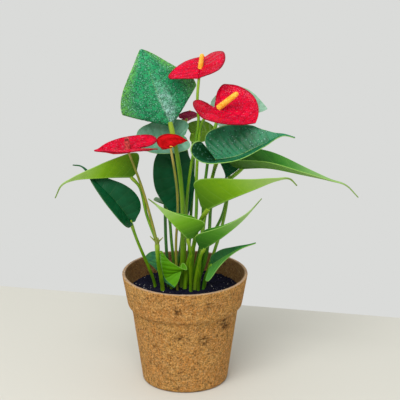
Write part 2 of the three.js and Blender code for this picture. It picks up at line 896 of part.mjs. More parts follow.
function makePot() {
  const neckHeight = COLLAR_END - COLLAR_STEP
  const profile = [[HUB_RADIUS, 0], [BASE_RADIUS - BASE_ROUNDING, 0]]
  for (const degrees of [30, 60, 90]) {
    const angle = radians(degrees)
    profile.push([
      BASE_RADIUS - BASE_ROUNDING * (1 - Math.sin(angle)),
      BASE_ROUNDING * (1 - Math.cos(angle)),
    ])
  }
  profile.push([mix(BASE_RADIUS, NECK_RADIUS, 0.5), neckHeight / 2])
  profile.push([NECK_RADIUS, neckHeight])
  profile.push([COLLAR_RADIUS, COLLAR_END])
  profile.push([RIM_RADIUS, POT_HEIGHT - RIM_ROUNDING])
  profile.push([RIM_RADIUS - RIM_ROUNDING, POT_HEIGHT])
  profile.push([RIM_RADIUS - WALL + RIM_ROUNDING, POT_HEIGHT])
  profile.push([RIM_RADIUS - WALL, POT_HEIGHT - RIM_ROUNDING])
  profile.push([insideRadius(COLLAR_END), COLLAR_END])
  profile.push([insideRadius(neckHeight), neckHeight])
  profile.push([insideRadius(FLOOR), FLOOR])
  profile.push([HUB_RADIUS, FLOOR])
  return revolve(profile, POT_SIDES)
}

// Seeded random numbers, so that the soil comes out alike every time.
function randomSource(seed) {
  let state = seed
  return () => {
    state = (state * 1664525 + 1013904223) % 4294967296
    return state / 4294967296
  }
}

function makeSoil(holes) {
  const random = randomSource(7)
  const neckHeight = COLLAR_END - COLLAR_STEP
  const bottom = FLOOR + REST_GAP
  const profile = [[HUB_RADIUS, bottom], [insideRadius(FLOOR) - REST_GAP, bottom]]
  for (const z of [neckHeight, COLLAR_END + REST_GAP, SOIL_TOP - SOIL_CLOD]) {
    profile.push([insideRadius(z - (z > neckHeight ? REST_GAP : 0)) - 2 * REST_GAP, z])
  }
  const topRadius = insideRadius(SOIL_TOP) - 4 * REST_GAP - SOIL_CLOD
  for (let k = 0; k < SOIL_RINGS; k++) {
    profile.push([mix(topRadius, SOIL_HUB, k / (SOIL_RINGS - 1)), SOIL_TOP])
  }
  const clods = (radius, height) => {
    if (height !== SOIL_TOP) return [radius, height]
    return [radius, height + SOIL_CLOD * (2 * random() - 1)]
  }
  return holes.reduce((body, hole) => body.subtract(hole), revolve(profile, POT_SIDES, clods))
}

const nodes = []
const holes = []

function addNode(name, body, colour, roughness) {
  nodes.push(toMesh(name, body, COLOURS[colour], roughness))
}

for (const leaf of LEAVES) {
  const end = bladeSurface(leaf)(LEAF_SEAT, 0).toArray()
  const body = union([stalk(leaf, end), blade(leaf, LEAF_THICKNESS, BLADE_ROWS, leaf.columns)])
  addNode(leaf.name, body, leaf.colour, 0.4)
  holes.push(stalk(leaf, end, REST_GAP))
}

for (const flower of FLOWERS) {
  const { spathe, joint, face, spike } = bloom(flower)
  const stem = stalk(flower, joint.toArray())
  holes.push(stalk(flower, joint.toArray(), REST_GAP))
  addNode(`${flower.name}_stalk`, cutUnder(stem, joint, face), 'stalk', 0.45)
  addNode(`${flower.name}_spathe`, spathe, flower.name === 'flower_back' ? 'maroon' : 'spathe', 0.3)
  addNode(`${flower.name}_spadix`, spike, 'spadix', 0.6)
}

// One of the shoot's bracts: a small pointed scale that clasps the joint.
function makeBract(at, bract) {
  const tip = at.clone().add(vec(bract.toward))
  const root = at.clone().addScaledVector(vec(bract.toward), -0.25)
  const shape = {
    midrib: [root.toArray(), root.clone().lerp(tip, 0.5).toArray(), tip.toArray()],
    halfWidth: bract.halfWidth,
    outline: BRACT_OUTLINE,
    up: [-bract.toward[0], -bract.toward[1], 3],
    fold: 25,
  }
  return blade(shape, BRACT_THICKNESS, 5, 1)
}

function addShoot() {
  const { spathe, joint, face, spike } = bloom(LEFT_FLOWER)
  const at = vec(SHOOT.joint)
  const stem = { foot: SHOOT.foot, by: SHOOT.by, radii: SHOOT.radii, steps: 6 }
  const before = vec(SHOOT.by[SHOOT.by.length - 1]).lerp(at, 0.8)
  const flowerStem = tube([before, at, ...SHOOT.flowerBy.map(vec), joint], SHOOT.flowerRadii, 9)
  const leafEnd = bladeSurface(SHOOT.leaf)(LEAF_SEAT, 0)
  const members = [
    stalk(stem, SHOOT.joint),
    cutUnder(flowerStem, joint, face),
    tube([before, at, ...SHOOT.leafBy.map(vec), leafEnd], SHOOT.leafRadii, 9, JOINT_SWELL),
    blade(SHOOT.leaf),
    ...SHOOT.bracts.map((bract) => makeBract(at, bract)),
  ]
  holes.push(stalk(stem, SHOOT.joint, REST_GAP))
  addNode('shoot_left', union(members), 'lime', 0.4)
  addNode('flower_left_spathe', spathe, 'spathe', 0.3)
  addNode('flower_left_spadix', spike, 'spathe', 0.5)
}

addShoot()
addNode('soil', makeSoil(holes), 'soil', 0.95)
addNode('pot', makePot(), 'pot', 0.9)

const group = new THREE.Group()
group.name = 'potted_anthurium'
nodes.forEach((node) => group.add(node))
export default group
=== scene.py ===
# %% [markdown]
# # A potted anthurium
# This lesson dresses a young anthurium in a pot of pressed coconut fibre. Its solids are loaded as
# a fixed frame, and every piece made here takes the place of one of them. The leaves, stalks and
# flowers follow the same formulas as the solids, with many more faces, veins and water on them.

# %% Load the frame
import math

import bpy
import numpy as np
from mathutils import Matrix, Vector


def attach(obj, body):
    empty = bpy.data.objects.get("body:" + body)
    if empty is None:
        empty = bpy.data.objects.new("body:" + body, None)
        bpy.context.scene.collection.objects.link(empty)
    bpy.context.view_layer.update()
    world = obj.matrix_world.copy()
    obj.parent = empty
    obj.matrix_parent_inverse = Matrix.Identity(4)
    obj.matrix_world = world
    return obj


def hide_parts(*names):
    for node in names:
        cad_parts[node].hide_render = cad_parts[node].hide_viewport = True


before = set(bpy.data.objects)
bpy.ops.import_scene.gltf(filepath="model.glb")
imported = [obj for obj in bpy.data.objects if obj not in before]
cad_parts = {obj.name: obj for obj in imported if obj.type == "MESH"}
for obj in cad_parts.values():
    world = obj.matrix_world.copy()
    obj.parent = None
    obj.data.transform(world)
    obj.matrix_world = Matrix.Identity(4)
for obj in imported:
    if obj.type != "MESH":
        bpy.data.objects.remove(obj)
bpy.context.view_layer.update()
MM = 0.001


# %% [markdown]
# ## The camera
# The plant stands a little below the eye, so the camera looks down on it from two metres away with
# a long lens. The focal length is worked out from the size of a pixel on the plant.

# %% Camera
IMAGE_WIDTH = 400
FOCAL_LENGTH_IN_PIXELS = 1962.5
SENSOR_WIDTH = 36
LOOKING_DOWN = math.radians(19.09)
AIM = Vector((15.6, 0, 195.6)) * MM
DISTANCE = 2.0


def add_object(name, data):
    """Adds an object to the scene."""
    thing = bpy.data.objects.new(name, data)
    bpy.context.scene.collection.objects.link(thing)
    return thing


camera = add_object("camera", bpy.data.cameras.new("camera"))
bpy.context.scene.camera = camera
camera.data.sensor_width = SENSOR_WIDTH
camera.data.lens = SENSOR_WIDTH * FOCAL_LENGTH_IN_PIXELS / IMAGE_WIDTH
camera.location = AIM + DISTANCE * Vector((0, -math.cos(LOOKING_DOWN), math.sin(LOOKING_DOWN)))
camera.rotation_euler = (math.pi / 2 - LOOKING_DOWN, 0, 0)
print("Lens", round(camera.data.lens, 1), "mm")

# %% [markdown]
# ## Nodes written as sums
# Materials and growing shapes are both trees of small nodes, and most of the nodes do arithmetic.
# They could be placed one by one, but the thought behind them is then hard to follow. Here an
# output of a node is wrapped in a class, so a sum can be written as usual, and each sign adds its
# node.

# %% Values
class Value:
    """An output of a node, which can be used in sums."""

    def __init__(self, socket):
        self.socket = socket

    def __add__(self, other):
        return calc("ADD", self, other)

    def __sub__(self, other):
        return calc("SUBTRACT", self, other)

    def __rsub__(self, other):
        return calc("SUBTRACT", other, self)

    def __mul__(self, other):
        return calc("MULTIPLY", self, other)

    def __truediv__(self, other):
        return calc("DIVIDE", self, other)

    def __rtruediv__(self, other):
        return calc("DIVIDE", other, self)

    def __lt__(self, other):
        return calc("LESS_THAN", self, other)

    def __gt__(self, other):
        return calc("GREATER_THAN", self, other)

    def __abs__(self):
        return calc("ABSOLUTE", self)


print("Values can be added, subtracted, multiplied, divided and compared")

# %% Adding nodes
class Node:
    """A node, whose outputs are read as values by name or number."""

    def __init__(self, node):
        self.node = node

    def __getitem__(self, key):
        return Value(self.node.outputs[key])


def put(value, socket):
    """Links a value to an input, links each value of a list, or fills the input in."""
    for one in value if isinstance(value, list) else [value]:
        if isinstance(one, Value):
            socket.id_data.links.new(one.socket, socket)
        else:
            socket.default_value = one


def add(tree, kind, inputs=None, **settings):
    """Adds a node with its settings and its inputs."""
    node = tree.nodes.new(kind)
    for key, value in settings.items():
        setattr(node, key, value)
    for key, value in (inputs or {}).items():
        put(value, node.inputs[key])
    return Node(node)


print("Nodes are added by add, and their outputs read as values")

# %% Sums of values
def tree_of(*values):
    """The tree that the first value among these belongs to."""
    return next(v.socket.id_data for v in values if isinstance(v, Value))


def calc(operation, *values):
    """One step of arithmetic."""
    return add(tree_of(*values), "ShaderNodeMath", dict(enumerate(values)), operation=operation)[0]


def vector_calc(operation, inputs):
    """One step of arithmetic with vectors, as a node."""
    return add(tree_of(*inputs.values()), "ShaderNodeVectorMath", inputs, operation=operation)


def smooth_step(value, low, high):
    """0 at low, 1 at high, and smooth between. Low may be the greater number."""
    limits = {0: value, 1: low, 2: high}
    return add(tree_of(value), "ShaderNodeMapRange", limits, interpolation_type="SMOOTHSTEP")[0]


def part_of(vector, axis):
    """One of the three numbers in a vector: 0 for X, 1 for Y and 2 for Z."""
    return add(tree_of(vector), "ShaderNodeSeparateXYZ", {0: vector})[axis]


print("A sum of values adds nodes of the kinds Math, Vector Math and Map Range")

# %% [markdown]
# ## Floor and light
# A plain pale floor ends a little behind the pot, and beyond it the pale sky of the world shines
# from all round. One wide, weak lamp from the upper left gives the leaves their soft shading.

# %% Plain materials and meshes
def to_linear(code):
    """A colour written as six hexadecimal digits, as shaders want it."""
    parts = [int(code[k : k + 2], 16) / 255 for k in (0, 2, 4)]
    return (*(p / 12.92 if p <= 0.04045 else ((p + 0.055) / 1.055) ** 2.4 for p in parts), 1.0)


def fill(node, **values):
    """Links or fills inputs by name, with _ in place of a space."""
    for key, value in values.items():
        put(value, node.inputs[key.replace("_", " ")])


def new_material(name, **values):
    """A material, its node tree and its Principled shader, with the given values."""
    material = bpy.data.materials.new(name)
    material.use_nodes = True
    shader = material.node_tree.nodes["Principled BSDF"]
    fill(shader, **values)
    return material, material.node_tree, shader


def mesh_object(name, points, faces, material=None):
    """A smooth mesh object at the origin, from points in metres."""
    mesh = bpy.data.meshes.new(name)
    mesh.from_pydata([tuple(p) for p in points], [], [tuple(int(i) for i in f) for f in faces])
    mesh.shade_smooth()
    if material:
        mesh.materials.append(material)
    return add_object(name, mesh)


print("White is", to_linear("ffffff"), "and middle grey", round(to_linear("808080")[0], 3))

# %% Floor
FLOOR_COLOUR = "cdcbc2"
FLOOR_FRONT = -1.2
FLOOR_BACK_LEFT = 0.38
FLOOR_BACK_RIGHT = 0.04
FLOOR_HALF_WIDTH = 0.8

floor_corners = [
    (-FLOOR_HALF_WIDTH, FLOOR_FRONT, 0),
    (FLOOR_HALF_WIDTH, FLOOR_FRONT, 0),
    (FLOOR_HALF_WIDTH, FLOOR_BACK_RIGHT, 0),
    (-FLOOR_HALF_WIDTH, FLOOR_BACK_LEFT, 0),
]
floor_material = new_material("floor", Base_Color=to_linear(FLOOR_COLOUR), Roughness=0.8)[0]
floor = mesh_object("floor", floor_corners, [(0, 1, 2, 3)], floor_material)
print("The floor is", 2 * FLOOR_HALF_WIDTH, "m wide")

# %% Light
SKY_COLOUR = "e9eae8"
WORLD_BRIGHTNESS = 0.86
KEY_POWER = 34
KEY_SIZE = 1.2
KEY_PLACE = Vector((-0.42, -1.22, 1.7))

world = bpy.data.worlds.new("pale_room")
bpy.context.scene.world = world
world.use_nodes = True
fill(world.node_tree.nodes["Background"], Color=to_linear(SKY_COLOUR), Strength=WORLD_BRIGHTNESS)

key = add_object("key_light", bpy.data.lights.new("key_light", "AREA"))
key.data.energy = KEY_POWER
key.data.size = KEY_SIZE
key.location = KEY_PLACE
key.rotation_euler = (AIM - KEY_PLACE).to_track_quat("-Z", "Y").to_euler()
bpy.context.scene.view_settings.view_transform = "Standard"
print("World", WORLD_BRIGHTNESS, "lamp", KEY_POWER, "W")

# %% [markdown]
# ## Shader groups
# Three effects come back in many materials: uneven mottling, the veins of a blade and fine drops
# of water. Each is a node group with named inputs. The groups put out masks and heights only, and
# each material decides what they do to its colour, gloss and bump.

# %% Tools for groups
def new_socket(tree, label, way, kind):
    """Declares an input or an output of a group."""
    return tree.interface.new_socket(name=label, in_out=way, socket_type="NodeSocket" + kind)


def new_group(name, kind, inputs):
    """A node group and its inputs, which are listed as (name, type, value)."""
    tree = bpy.data.node_groups.new(name, kind)
    for label, socket, value in inputs:
        made = new_socket(tree, label, "INPUT", socket)
        if value is not None:
            made.default_value = value
    return tree, add(tree, "NodeGroupInput")


def give(tree, kind, values):
    for label in values:
        new_socket(tree, label, "OUTPUT", kind)
    add(tree, "NodeGroupOutput", values)
    print("Group", tree.name, "gives", ", ".join(values))


def use(tree, group, **values):
    """Places a group in a material, with its inputs filled by name."""
    named = {key.replace("_", " "): value for key, value in values.items()}
    return add(tree, "ShaderNodeGroup", named, node_tree=group)


def noise(place, scale, detail=2.0, roughness=0.5):
    """A noise texture. Its output 0 is a number, and its output 1 a colour."""
    inputs = {"Vector": place, "Scale": scale, "Detail": detail, "Roughness": roughness}
    return add(tree_of(place), "ShaderNodeTexNoise", inputs)


def greater(first, second):
    """The greater of two values."""
    return calc("MAXIMUM", first, second)


print("Groups are made by new_group and give, and placed by use")

# %% [markdown]
# Nothing that grows or is pressed has one even colour. Mottling gives two masks for that: broad
# patches of a chosen size in millimetres, and fine ones a sixth as large.

# %% Mottling
FINER = 6.0

mottling, given = new_group(
    "mottling",
    "ShaderNodeTree",
    [("Vector", "Vector", None), ("Size", "Float", 10.0), ("Stretch", "Vector", (1, 1, 1))],
)
mapping = {"Vector": given["Vector"], "Scale": given["Stretch"]}
stretched = add(mottling, "ShaderNodeMapping", mapping)[0]
frequency = 1 / MM / given["Size"]
broad = noise(stretched, frequency, 3.0, 0.55)[0]
fine = noise(stretched, frequency * FINER, 2.0, 0.6)[0]
masks = {"Broad": smooth_step(broad, 0.35, 0.65), "Fine": smooth_step(fine, 0.3, 0.7)}
give(mottling, "Float", masks)

# %% [markdown]
# The veins of a blade run from its midrib to its edge. Each blade carries a flat map, so the veins
# are drawn on the map: lines at equal steps along it, a midrib in the middle and a margin at the
# edge. Pillow is the height of the skin, which swells between two veins.

# %% Veins of a blade
MARGIN_END = 0.995

blade_veins, given = new_group(
    "blade_veins",
    "ShaderNodeTree",
    [("Count", "Float", 9.0), ("Width", "Float", 0.1), ("Rim", "Float", 0.965)],
)
flat = add(blade_veins, "ShaderNodeUVMap", uv_map="blade")[0]
along = part_of(flat, 1)
across = abs(part_of(flat, 0) * 2.0 - 1.0)
away = abs(calc("FRACT", along * given["Count"]) - 0.5) * 2.0
line_width = given["Width"] * (1.15 - across)
midrib_width = along * -0.035 + 0.05
veins = {
    "Side Veins": 1.0 - smooth_step(away, 0.0, line_width),
    "Midrib": 1.0 - smooth_step(across, 0.004, midrib_width),
    "Margin": smooth_step(across, given["Rim"], MARGIN_END),
    "Pillow": smooth_step(away, 0.0, 0.8),
    "Across": across,
}
give(blade_veins, "Float", veins)

# %% [markdown]
# Small drops would cost too many faces, so the finest ones are drawn. A cell pattern, shaken by
# noise, holds one drop in each cell, and a lottery decides which cells are wet and how large each
# drop is. Drops is the height of the drops, and Shade the dark ring that each throws round itself.

# %% Fine drops of water
WOBBLE = 0.9 * MM

fine_drops, given = new_group(
    "fine_drops",
    "ShaderNodeTree",
    [("Vector", "Vector", None), ("Size", "Float", 2.0), ("Amount", "Float", 0.5)],
)
frequency = 1 / MM / given["Size"]
wobble = noise(given["Vector"], frequency)[1]
shake = vector_calc("SCALE", {0: wobble, "Scale": given["Size"] * WOBBLE})[0]
moved = vector_calc("ADD", {0: given["Vector"], 1: shake})[0]
cells = add(fine_drops, "ShaderNodeTexVoronoi", {"Vector": moved, "Scale": frequency})
lottery = add(fine_drops, "ShaderNodeSeparateColor", {0: cells["Color"]})
chosen = lottery[0] < given["Amount"]
inside = 1.0 - cells["Distance"] / (lottery[1] * 0.3 + 0.25)
dome = calc("POWER", greater(inside, 0.0), 0.5)
ring = smooth_step(inside, -0.9, -0.1) - smooth_step(inside, 0.1, 0.5)
give(fine_drops, "Float", {"Drops": dome * chosen, "Shade": ring * chosen})

# %% [markdown]
# ## Leaf materials
# An anthurium leaf is smooth and waxy above, and paler and duller below. Its side veins show as
# fine light lines with a soft swelling between them, and a pale cord runs round the margin. Each
# blade carries its own flat map, so these lines follow the blade however it is bent. Old leaves
# are deep green and young ones lime, which is why the same recipe is mixed with several sets of
# colours. Each drop gets a painted highlight in the middle and a painted dark ring round it. A sheen
# of reflected light can be painted beside the midrib, shade towards the joint and in a rolled lobe,
# and one half can be painted in the different light that falls on it.

# %% Tools for materials
def blend(first, second, amount):
    """Moves from one colour to another by an amount from 0 to 1. A colour is a value or a code."""
    first, second = (to_linear(c) if isinstance(c, str) else c for c in (first, second))
    inputs = {0: amount, 6: first, 7: second}
    return add(tree_of(amount, first), "ShaderNodeMix", inputs, data_type="RGBA")[2]


def bump(height, strength, depth):
    """A normal from a height, for a relief that is some millimetres deep."""
    inputs = {"Height": height, "Strength": strength, "Distance": depth * MM}
    return add(tree_of(height), "ShaderNodeBump", inputs)[0]


def place_of(tree):
    """The place on the object, in metres."""
    return add(tree, "ShaderNodeTexCoord")["Object"]


def attribute(tree, name):
    """A number that the mesh carries under a name."""
    return add(tree, "ShaderNodeAttribute", attribute_name=name)["Fac"]


def blade_maps(tree):
    """Where a point is on a blade's flat map, across and along, and if it is on the upper face."""
    flat = add(tree, "ShaderNodeUVMap", uv_map="blade")[0]
    return part_of(flat, 0), part_of(flat, 1), attribute(tree, "upper")


print("Colours are moved by blend, and reliefs made by bump")

# %% Colours of a leaf
LEAF_LOOK = dict(
    wet=0.0,  # the share of cells with a fine drop
    veins=9,  # side veins on each half
    lines_show=1.0,  # strength of the pale lines
    painted_light_half=None,  # colour painted on one half for the different light that falls on it, if any
    painted_sheen=0.0,  # a painted sheen: reflected light painted beside the midrib
    hollow=0.0,  # shade in a rolled lobe
    edge=0.0,  # fresh green towards the margin
    joint=0.0,  # painted shade towards the joint, and a pale tip with a dull tail
)


def leaf_colour(tree, colours, look, lines, patches, drops):
    """The leaf's colour, with its painted sheen, its painted shade and the painted highlights and
    rings of its drops, from the effects on it.
    """
    upper, lower, fresh = colours
    aside, along, is_upper = blade_maps(tree)
    under = blend(lower, upper, patches["Broad"] * 0.25)
    face = blend(under, blend(upper, fresh, patches["Broad"] * 0.55), is_upper)
    # Painted light: one half takes another colour for the shade or light that falls on it
    if look["painted_light_half"]:
        face = blend(face, look["painted_light_half"], smooth_step(aside, 0.49, 0.51))
    face = blend(face, fresh, patches["Fine"] * 0.3)

    rolled = smooth_step(along, 0.46, 0.26) * smooth_step(aside, 0.5, 0.56) * is_upper
    veined = greater(lines["Side Veins"] * 0.4, lines["Midrib"]) * 0.32
    # lying is the mask of the painted sheen, reflected light painted beside the midrib towards the
    # joint
    beside = smooth_step(aside, 0.46, 0.5) * smooth_step(aside, 0.72, 0.56)
    lying = beside * smooth_step(along, 0.75, 0.3) * is_upper * look["painted_sheen"]
    lying = lying * (patches["Fine"] * 0.9 + 0.2)
    shine = drops["Drops"] * is_upper
    for colour, where, share in (
        ("184c08", smooth_step(along, 0.6, 0.05), look["joint"]),  # painted shade towards the joint
        ("b4c890", smooth_step(along, 0.4, 0.9), look["joint"] * 0.7),  # pale towards the tip
        ("5c7030", smooth_step(along, 0.84, 0.93), look["joint"]),  # dull on the tail
        ("74b03c", smooth_step(lines["Across"], 0.55, 1.0), look["edge"]),  # fresh at the margin
        ("063818", rolled, look["hollow"]),  # shaded in a roll
        ("a4cc66", greater(veined, lines["Margin"] * 0.5), look["lines_show"]),  # pale lines
        ("b8dadc", lying, 1.0),  # the painted sheen beside the midrib
        ("063c24", drops["Shade"] * is_upper, 0.75),  # painted shade: dark rings round the drops
        ("8cd0b4", shine, 0.4),  # painted highlight on the drops
    ):
        if share:
            face = blend(face, colour, where * share)
    return face, lying, shine, is_upper


print("A leaf's look has", len(LEAF_LOOK), "settings:", ", ".join(LEAF_LOOK))

# %% Leaf material
def leaf_material(name, *colours, **other):
    """Leaf skin, from the colours of its two faces, a fresher tint and the settings of its look."""
    look = LEAF_LOOK | other
    gloss = dict(Coat_Roughness=0.12, IOR=1.45, Specular_IOR_Level=0.16)
    material, tree, shader = new_material(name, **gloss)
    place = place_of(tree)
    lines = use(tree, blade_veins, Count=float(look["veins"]))
    patches = use(tree, mottling, Vector=place, Size=26.0)
    drops = use(tree, fine_drops, Vector=place, Size=2.0, Amount=look["wet"])
    # lying is the mask of the painted sheen beside the midrib, where the coat is also stronger
    face, lying, shine, is_upper = leaf_colour(tree, colours, look, lines, patches, drops)
    rough = patches["Fine"] * 0.12 + (is_upper * -0.2 + 0.55)
    relief = lines["Side Veins"] * -0.5 + lines["Pillow"] + patches["Fine"] * 0.12 + shine * 0.8
    fill(
        shader,
        Base_Color=face,
        Roughness=greater(rough - shine * 0.3, 0.05),
        Coat_Weight=is_upper * 0.06 + lying * 0.3,
        Normal=bump(relief, 0.35, 0.6),
    )
    return material


LEAF_SKINS = {
    skin: leaf_material(f"leaf_{skin}_green", upper, lower, fresh, **other)
    for skin, upper, lower, fresh, other in (
        ("deep", "148452", "3c8c34", "38a468", dict(wet=0.9, lines_show=0.8, painted_sheen=0.6, edge=0.6)),
        ("teal", "08542c", "4ca838", "308860", dict(wet=0.3, veins=16, lines_show=1.2, hollow=0.95)),
        ("mid", "287a1c", "70a830", "4c9428", dict(joint=0.75)),
        ("rising", "287a1c", "589424", "4c8c20", dict(joint=0.9)),
        ("dark", "044420", "14522c", "0c5834", dict(lines_show=0.2)),
        ("bright", "549c14", "74a81c", "68ac1c", dict(joint=0.85)),
        ("lime", "74a40c", "70a008", "8cb414", dict(joint=0.75)),
        ("pale", "7cac90", "7cac90", "a4ccb4", {}),
        ("grey", "4c8468", "4c8468", "7cac94", {}),
        ("olive", "446a0a", "446a0a", "5c7e14", {}),
        ("low", "4c9008", "54900c", "60a010", dict(painted_light_half="246448")),
        ("narrow", "1c5c2c", "548c2c", "34783c", dict(painted_light_half="4c8c34")),
    )
}
print(len(LEAF_SKINS), "leaf skins:", ", ".join(LEAF_SKINS))

# %% [markdown]
# ## Stalk material
# The stalks are smooth and juicy, lime where they are young and brownish where they are old; two
# stalks further back are dark green. Fine lengthwise streaks come from a noise that is stretched
# upwards.

# %% Stalk materials
FOOT_COLOUR = "98ac54"


def stalk_material(name, main, streak, joint):
    """Stalk skin, with a lighter joint where the attribute along comes near 1, and a pale foot."""
    material, tree, shader = new_material(name, Roughness=0.34, Specular_IOR_Level=0.4)
    streaks = use(tree, mottling, Vector=place_of(tree), Size=4.0, Stretch=(1.0, 1.0, 0.08))
    along = attribute(tree, "along")
    skin = blend(main, streak, streaks["Broad"])
    skin = blend(skin, joint, streaks["Fine"] * 0.25)
    skin = blend(skin, joint, smooth_step(along, 0.88, 0.96))
    skin = blend(skin, FOOT_COLOUR, smooth_step(along, 0.22, 0.05) * 0.5)
    fill(shader, Base_Color=skin, Normal=bump(streaks["Fine"], 0.25, 0.3))
    return material


STALK_SKINS = {
    "lime": stalk_material("stalk_lime", "78a40c", "4c8408", "88a828"),
    "green": stalk_material("stalk_green", "44840c", "286404", "8cbc34"),
    "dark": stalk_material("stalk_dark", "205c18", "184810", "5c942c"),
    "brown": stalk_material("stalk_brown", "8c8428", "6c7c1c", "a8984c"),
}
print(len(STALK_SKINS), "stalk skins:", ", ".join(STALK_SKINS))

# %% [markdown]
# ## Spathes, spadices and water
# What looks like a petal is a spathe: a waxy leaf turned red, with a blistered surface and water
# drops, which get a painted pinkish highlight and a painted dark ring. It takes the same groups as a
# leaf, with stronger veins, and painted shade lies inside its curled lobe. The spadix is the spike
# of tiny flowers standing on it, and a simple mottled recipe is enough for it, as for all small
# crumbs.

# %% Spathe material
# The painted highlight on the drops of a spathe
DROP_HIGHLIGHT_PINK = "f85080"


def spathe_material(name, upper, lower, shade, glow, wet):
    """Waxy red skin, darker towards the veins and lighter on the blisters between them."""
    gloss = dict(Coat_Roughness=0.08, IOR=1.5, Specular_IOR_Level=0.07)
    material, tree, shader = new_material(name, **gloss)
    place = place_of(tree)
    aside, along, is_upper = blade_maps(tree)
    lines = use(tree, blade_veins, Count=7.0, Width=0.16, Rim=0.9)
    patches = use(tree, mottling, Vector=place, Size=9.0)
    drops = use(tree, fine_drops, Vector=place, Size=2.4, Amount=wet)
    veined = greater(lines["Side Veins"] * 0.7, lines["Midrib"])
    # rolled marks where painted shade lies inside the curled lobe
    rolled = smooth_step(along, 0.2, 0.05) * smooth_step(aside, 0.6, 0.8)
    shine = drops["Drops"] * is_upper
    face = blend(lower, upper, is_upper)
    for colour, amount in (
        (glow, patches["Broad"] * 0.5),
        (shade, veined * 0.55),
        (shade, lines["Margin"] * 0.75),
        (shade, rolled * 0.7),  # painted shade inside the curled lobe
        (shade, drops["Shade"] * is_upper * 0.45),  # painted shade: dark rings round the drops
        (DROP_HIGHLIGHT_PINK, shine * 0.35),  # painted highlight on the drops
    ):
        face = blend(face, colour, amount)
    fill(
        shader,
        Base_Color=face,
        Roughness=is_upper * -0.2 + 0.5 - shine * 0.15,
        Coat_Weight=is_upper * 0.06,
        Normal=bump(lines["Pillow"] - veined + patches["Fine"] * 0.5 + shine, 0.6, 1.0),
    )
    return material


RED_SPATHE = spathe_material("spathe_red", "cc0028", "a80020", "80001a", "e80038", 0.75)
DEEP_SPATHE = spathe_material("spathe_deep_red", "d80814", "d40c14", "8c0410", "ec1420", 0.0)
MAROON_SPATHE = spathe_material("spathe_maroon", "b42858", "b42858", "46081a", "d8587c", 0.0)
print("Spathe skins:", RED_SPATHE.name, DEEP_SPATHE.name, MAROON_SPATHE.name)

# %% Mottled materials and water
def mottled_material(name, main, other, size, relief=None, flecks=None, **values):
    """Two colours in patches, perhaps with flecks of a third and a relief of (strength, depth)."""
    material, tree, shader = new_material(name, **values)
    patches = use(tree, mottling, Vector=place_of(tree), Size=size)
    skin = blend(main, other, patches["Broad"])
    if flecks:
        skin = blend(skin, flecks, patches["Fine"] * 0.4)
    fill(shader, Base_Color=skin)
    if relief:
        fill(shader, Normal=bump(patches["Fine"], *relief))
    return material


FLORETS = dict(size=3.0, relief=(0.3, 0.2), Roughness=0.5)

YELLOW_SPADIX = mottled_material("spadix_yellow", "f0a418", "fcc848", **FLORETS)
RED_SPADIX = mottled_material("spadix_red", "7c0814", "dc5450", **FLORETS)
water_colour = to_linear("a4bcb0")
water = new_material(
    "water", Base_Color=water_colour, Roughness=0.25, IOR=1.33, Alpha=0.16, Specular_IOR_Level=0.4
)[0]
print("Small materials:", YELLOW_SPADIX.name, RED_SPADIX.name, water.name)

# %% [markdown]
# ## Geometry Nodes: a stalk along its path
# A stalk is a round stem that thins upwards and swells into a joint just under its blade. It could
# be swept in Python, but a tree of nodes does it for any curve. The curve carries the path, and
# the sizes are named inputs. Each tree is run once, and what comes out is kept as a plain mesh.

# %% Growing a piece
def grow(source, tree, name, **values):
    """Runs a tree on an object, and returns the plain mesh object that comes out."""
    modifier = source.modifiers.new(tree.name, "NODES")
    modifier.node_group = tree
    for item in tree.interface.items_tree:
        key = item.name.replace(" ", "_").lower()
        if item.in_out == "INPUT" and key in values:
            modifier[item.identifier] = values[key]
    graph = bpy.context.evaluated_depsgraph_get()
    mesh = bpy.data.meshes.new_from_object(source.evaluated_get(graph), depsgraph=graph)
    mesh.name = name
    source.modifiers.remove(modifier)
    bpy.data.objects.remove(source)
    return add_object(name, mesh)


def join(pieces, name):
    """Makes one object of several meshes, which keep their materials."""
    active = pieces[0]
    chosen = dict(active_object=active, object=active)
    chosen.update(selected_objects=pieces, selected_editable_objects=pieces)
    with bpy.context.temp_override(**chosen):
        bpy.ops.object.join()
    active.name = name
    return active


def dress(piece, node):
    """Puts a finished piece in the place of a solid."""
    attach(piece, "root")
    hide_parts(node)
    print(piece.name, "stands for", node, "with", len(piece.data.polygons), "faces")


# %% Tools for Geometry Nodes
def geometry_tree(name, inputs):
    """A Geometry Nodes tree with one geometry in."""
    return new_group(name, "GeometryNodeTree", [("Geometry", "Geometry", None)] + inputs)


def tube(curve, radius, sides):
    """A round tube along a curve, with a radius that may change along it."""
    tree = tree_of(curve)
    sized = add(tree, "GeometryNodeSetCurveRadius", {"Curve": curve, "Radius": radius})[0]
    ring = add(tree, "GeometryNodeCurvePrimitiveCircle", {"Resolution": sides, "Radius": 1.0})[0]
    scale = add(tree, "GeometryNodeInputRadius")[0]
    inputs = {"Curve": sized, "Profile Curve": ring, "Scale": scale, "Fill Caps": True}
    return add(tree, "GeometryNodeCurveToMesh", inputs)[0]


def joined(*parts):
    """Several geometries as one."""
    return add(tree_of(*parts), "GeometryNodeJoinGeometry", {0: list(parts)})[0]


def skinned(geometry, material):
    """A geometry with a material."""
    inputs = {"Geometry": geometry, "Material": material}
    return add(tree_of(geometry), "GeometryNodeSetMaterial", inputs)[0]


def made_real(geometry, material, smooth=False):
    """A geometry whose instances are made real, with a material."""
    tree = tree_of(geometry)
    real = add(tree, "GeometryNodeRealizeInstances", {0: geometry})[0]
    if smooth:
        real = add(tree, "GeometryNodeSetShadeSmooth", {"Geometry": real})[0]
    return skinned(real, material)


print("A tree ends in made_real, which keeps nothing as an instance")

# %% The stalk's tree
JOINT_START = 0.95
JOINT_LENGTH = 0.05

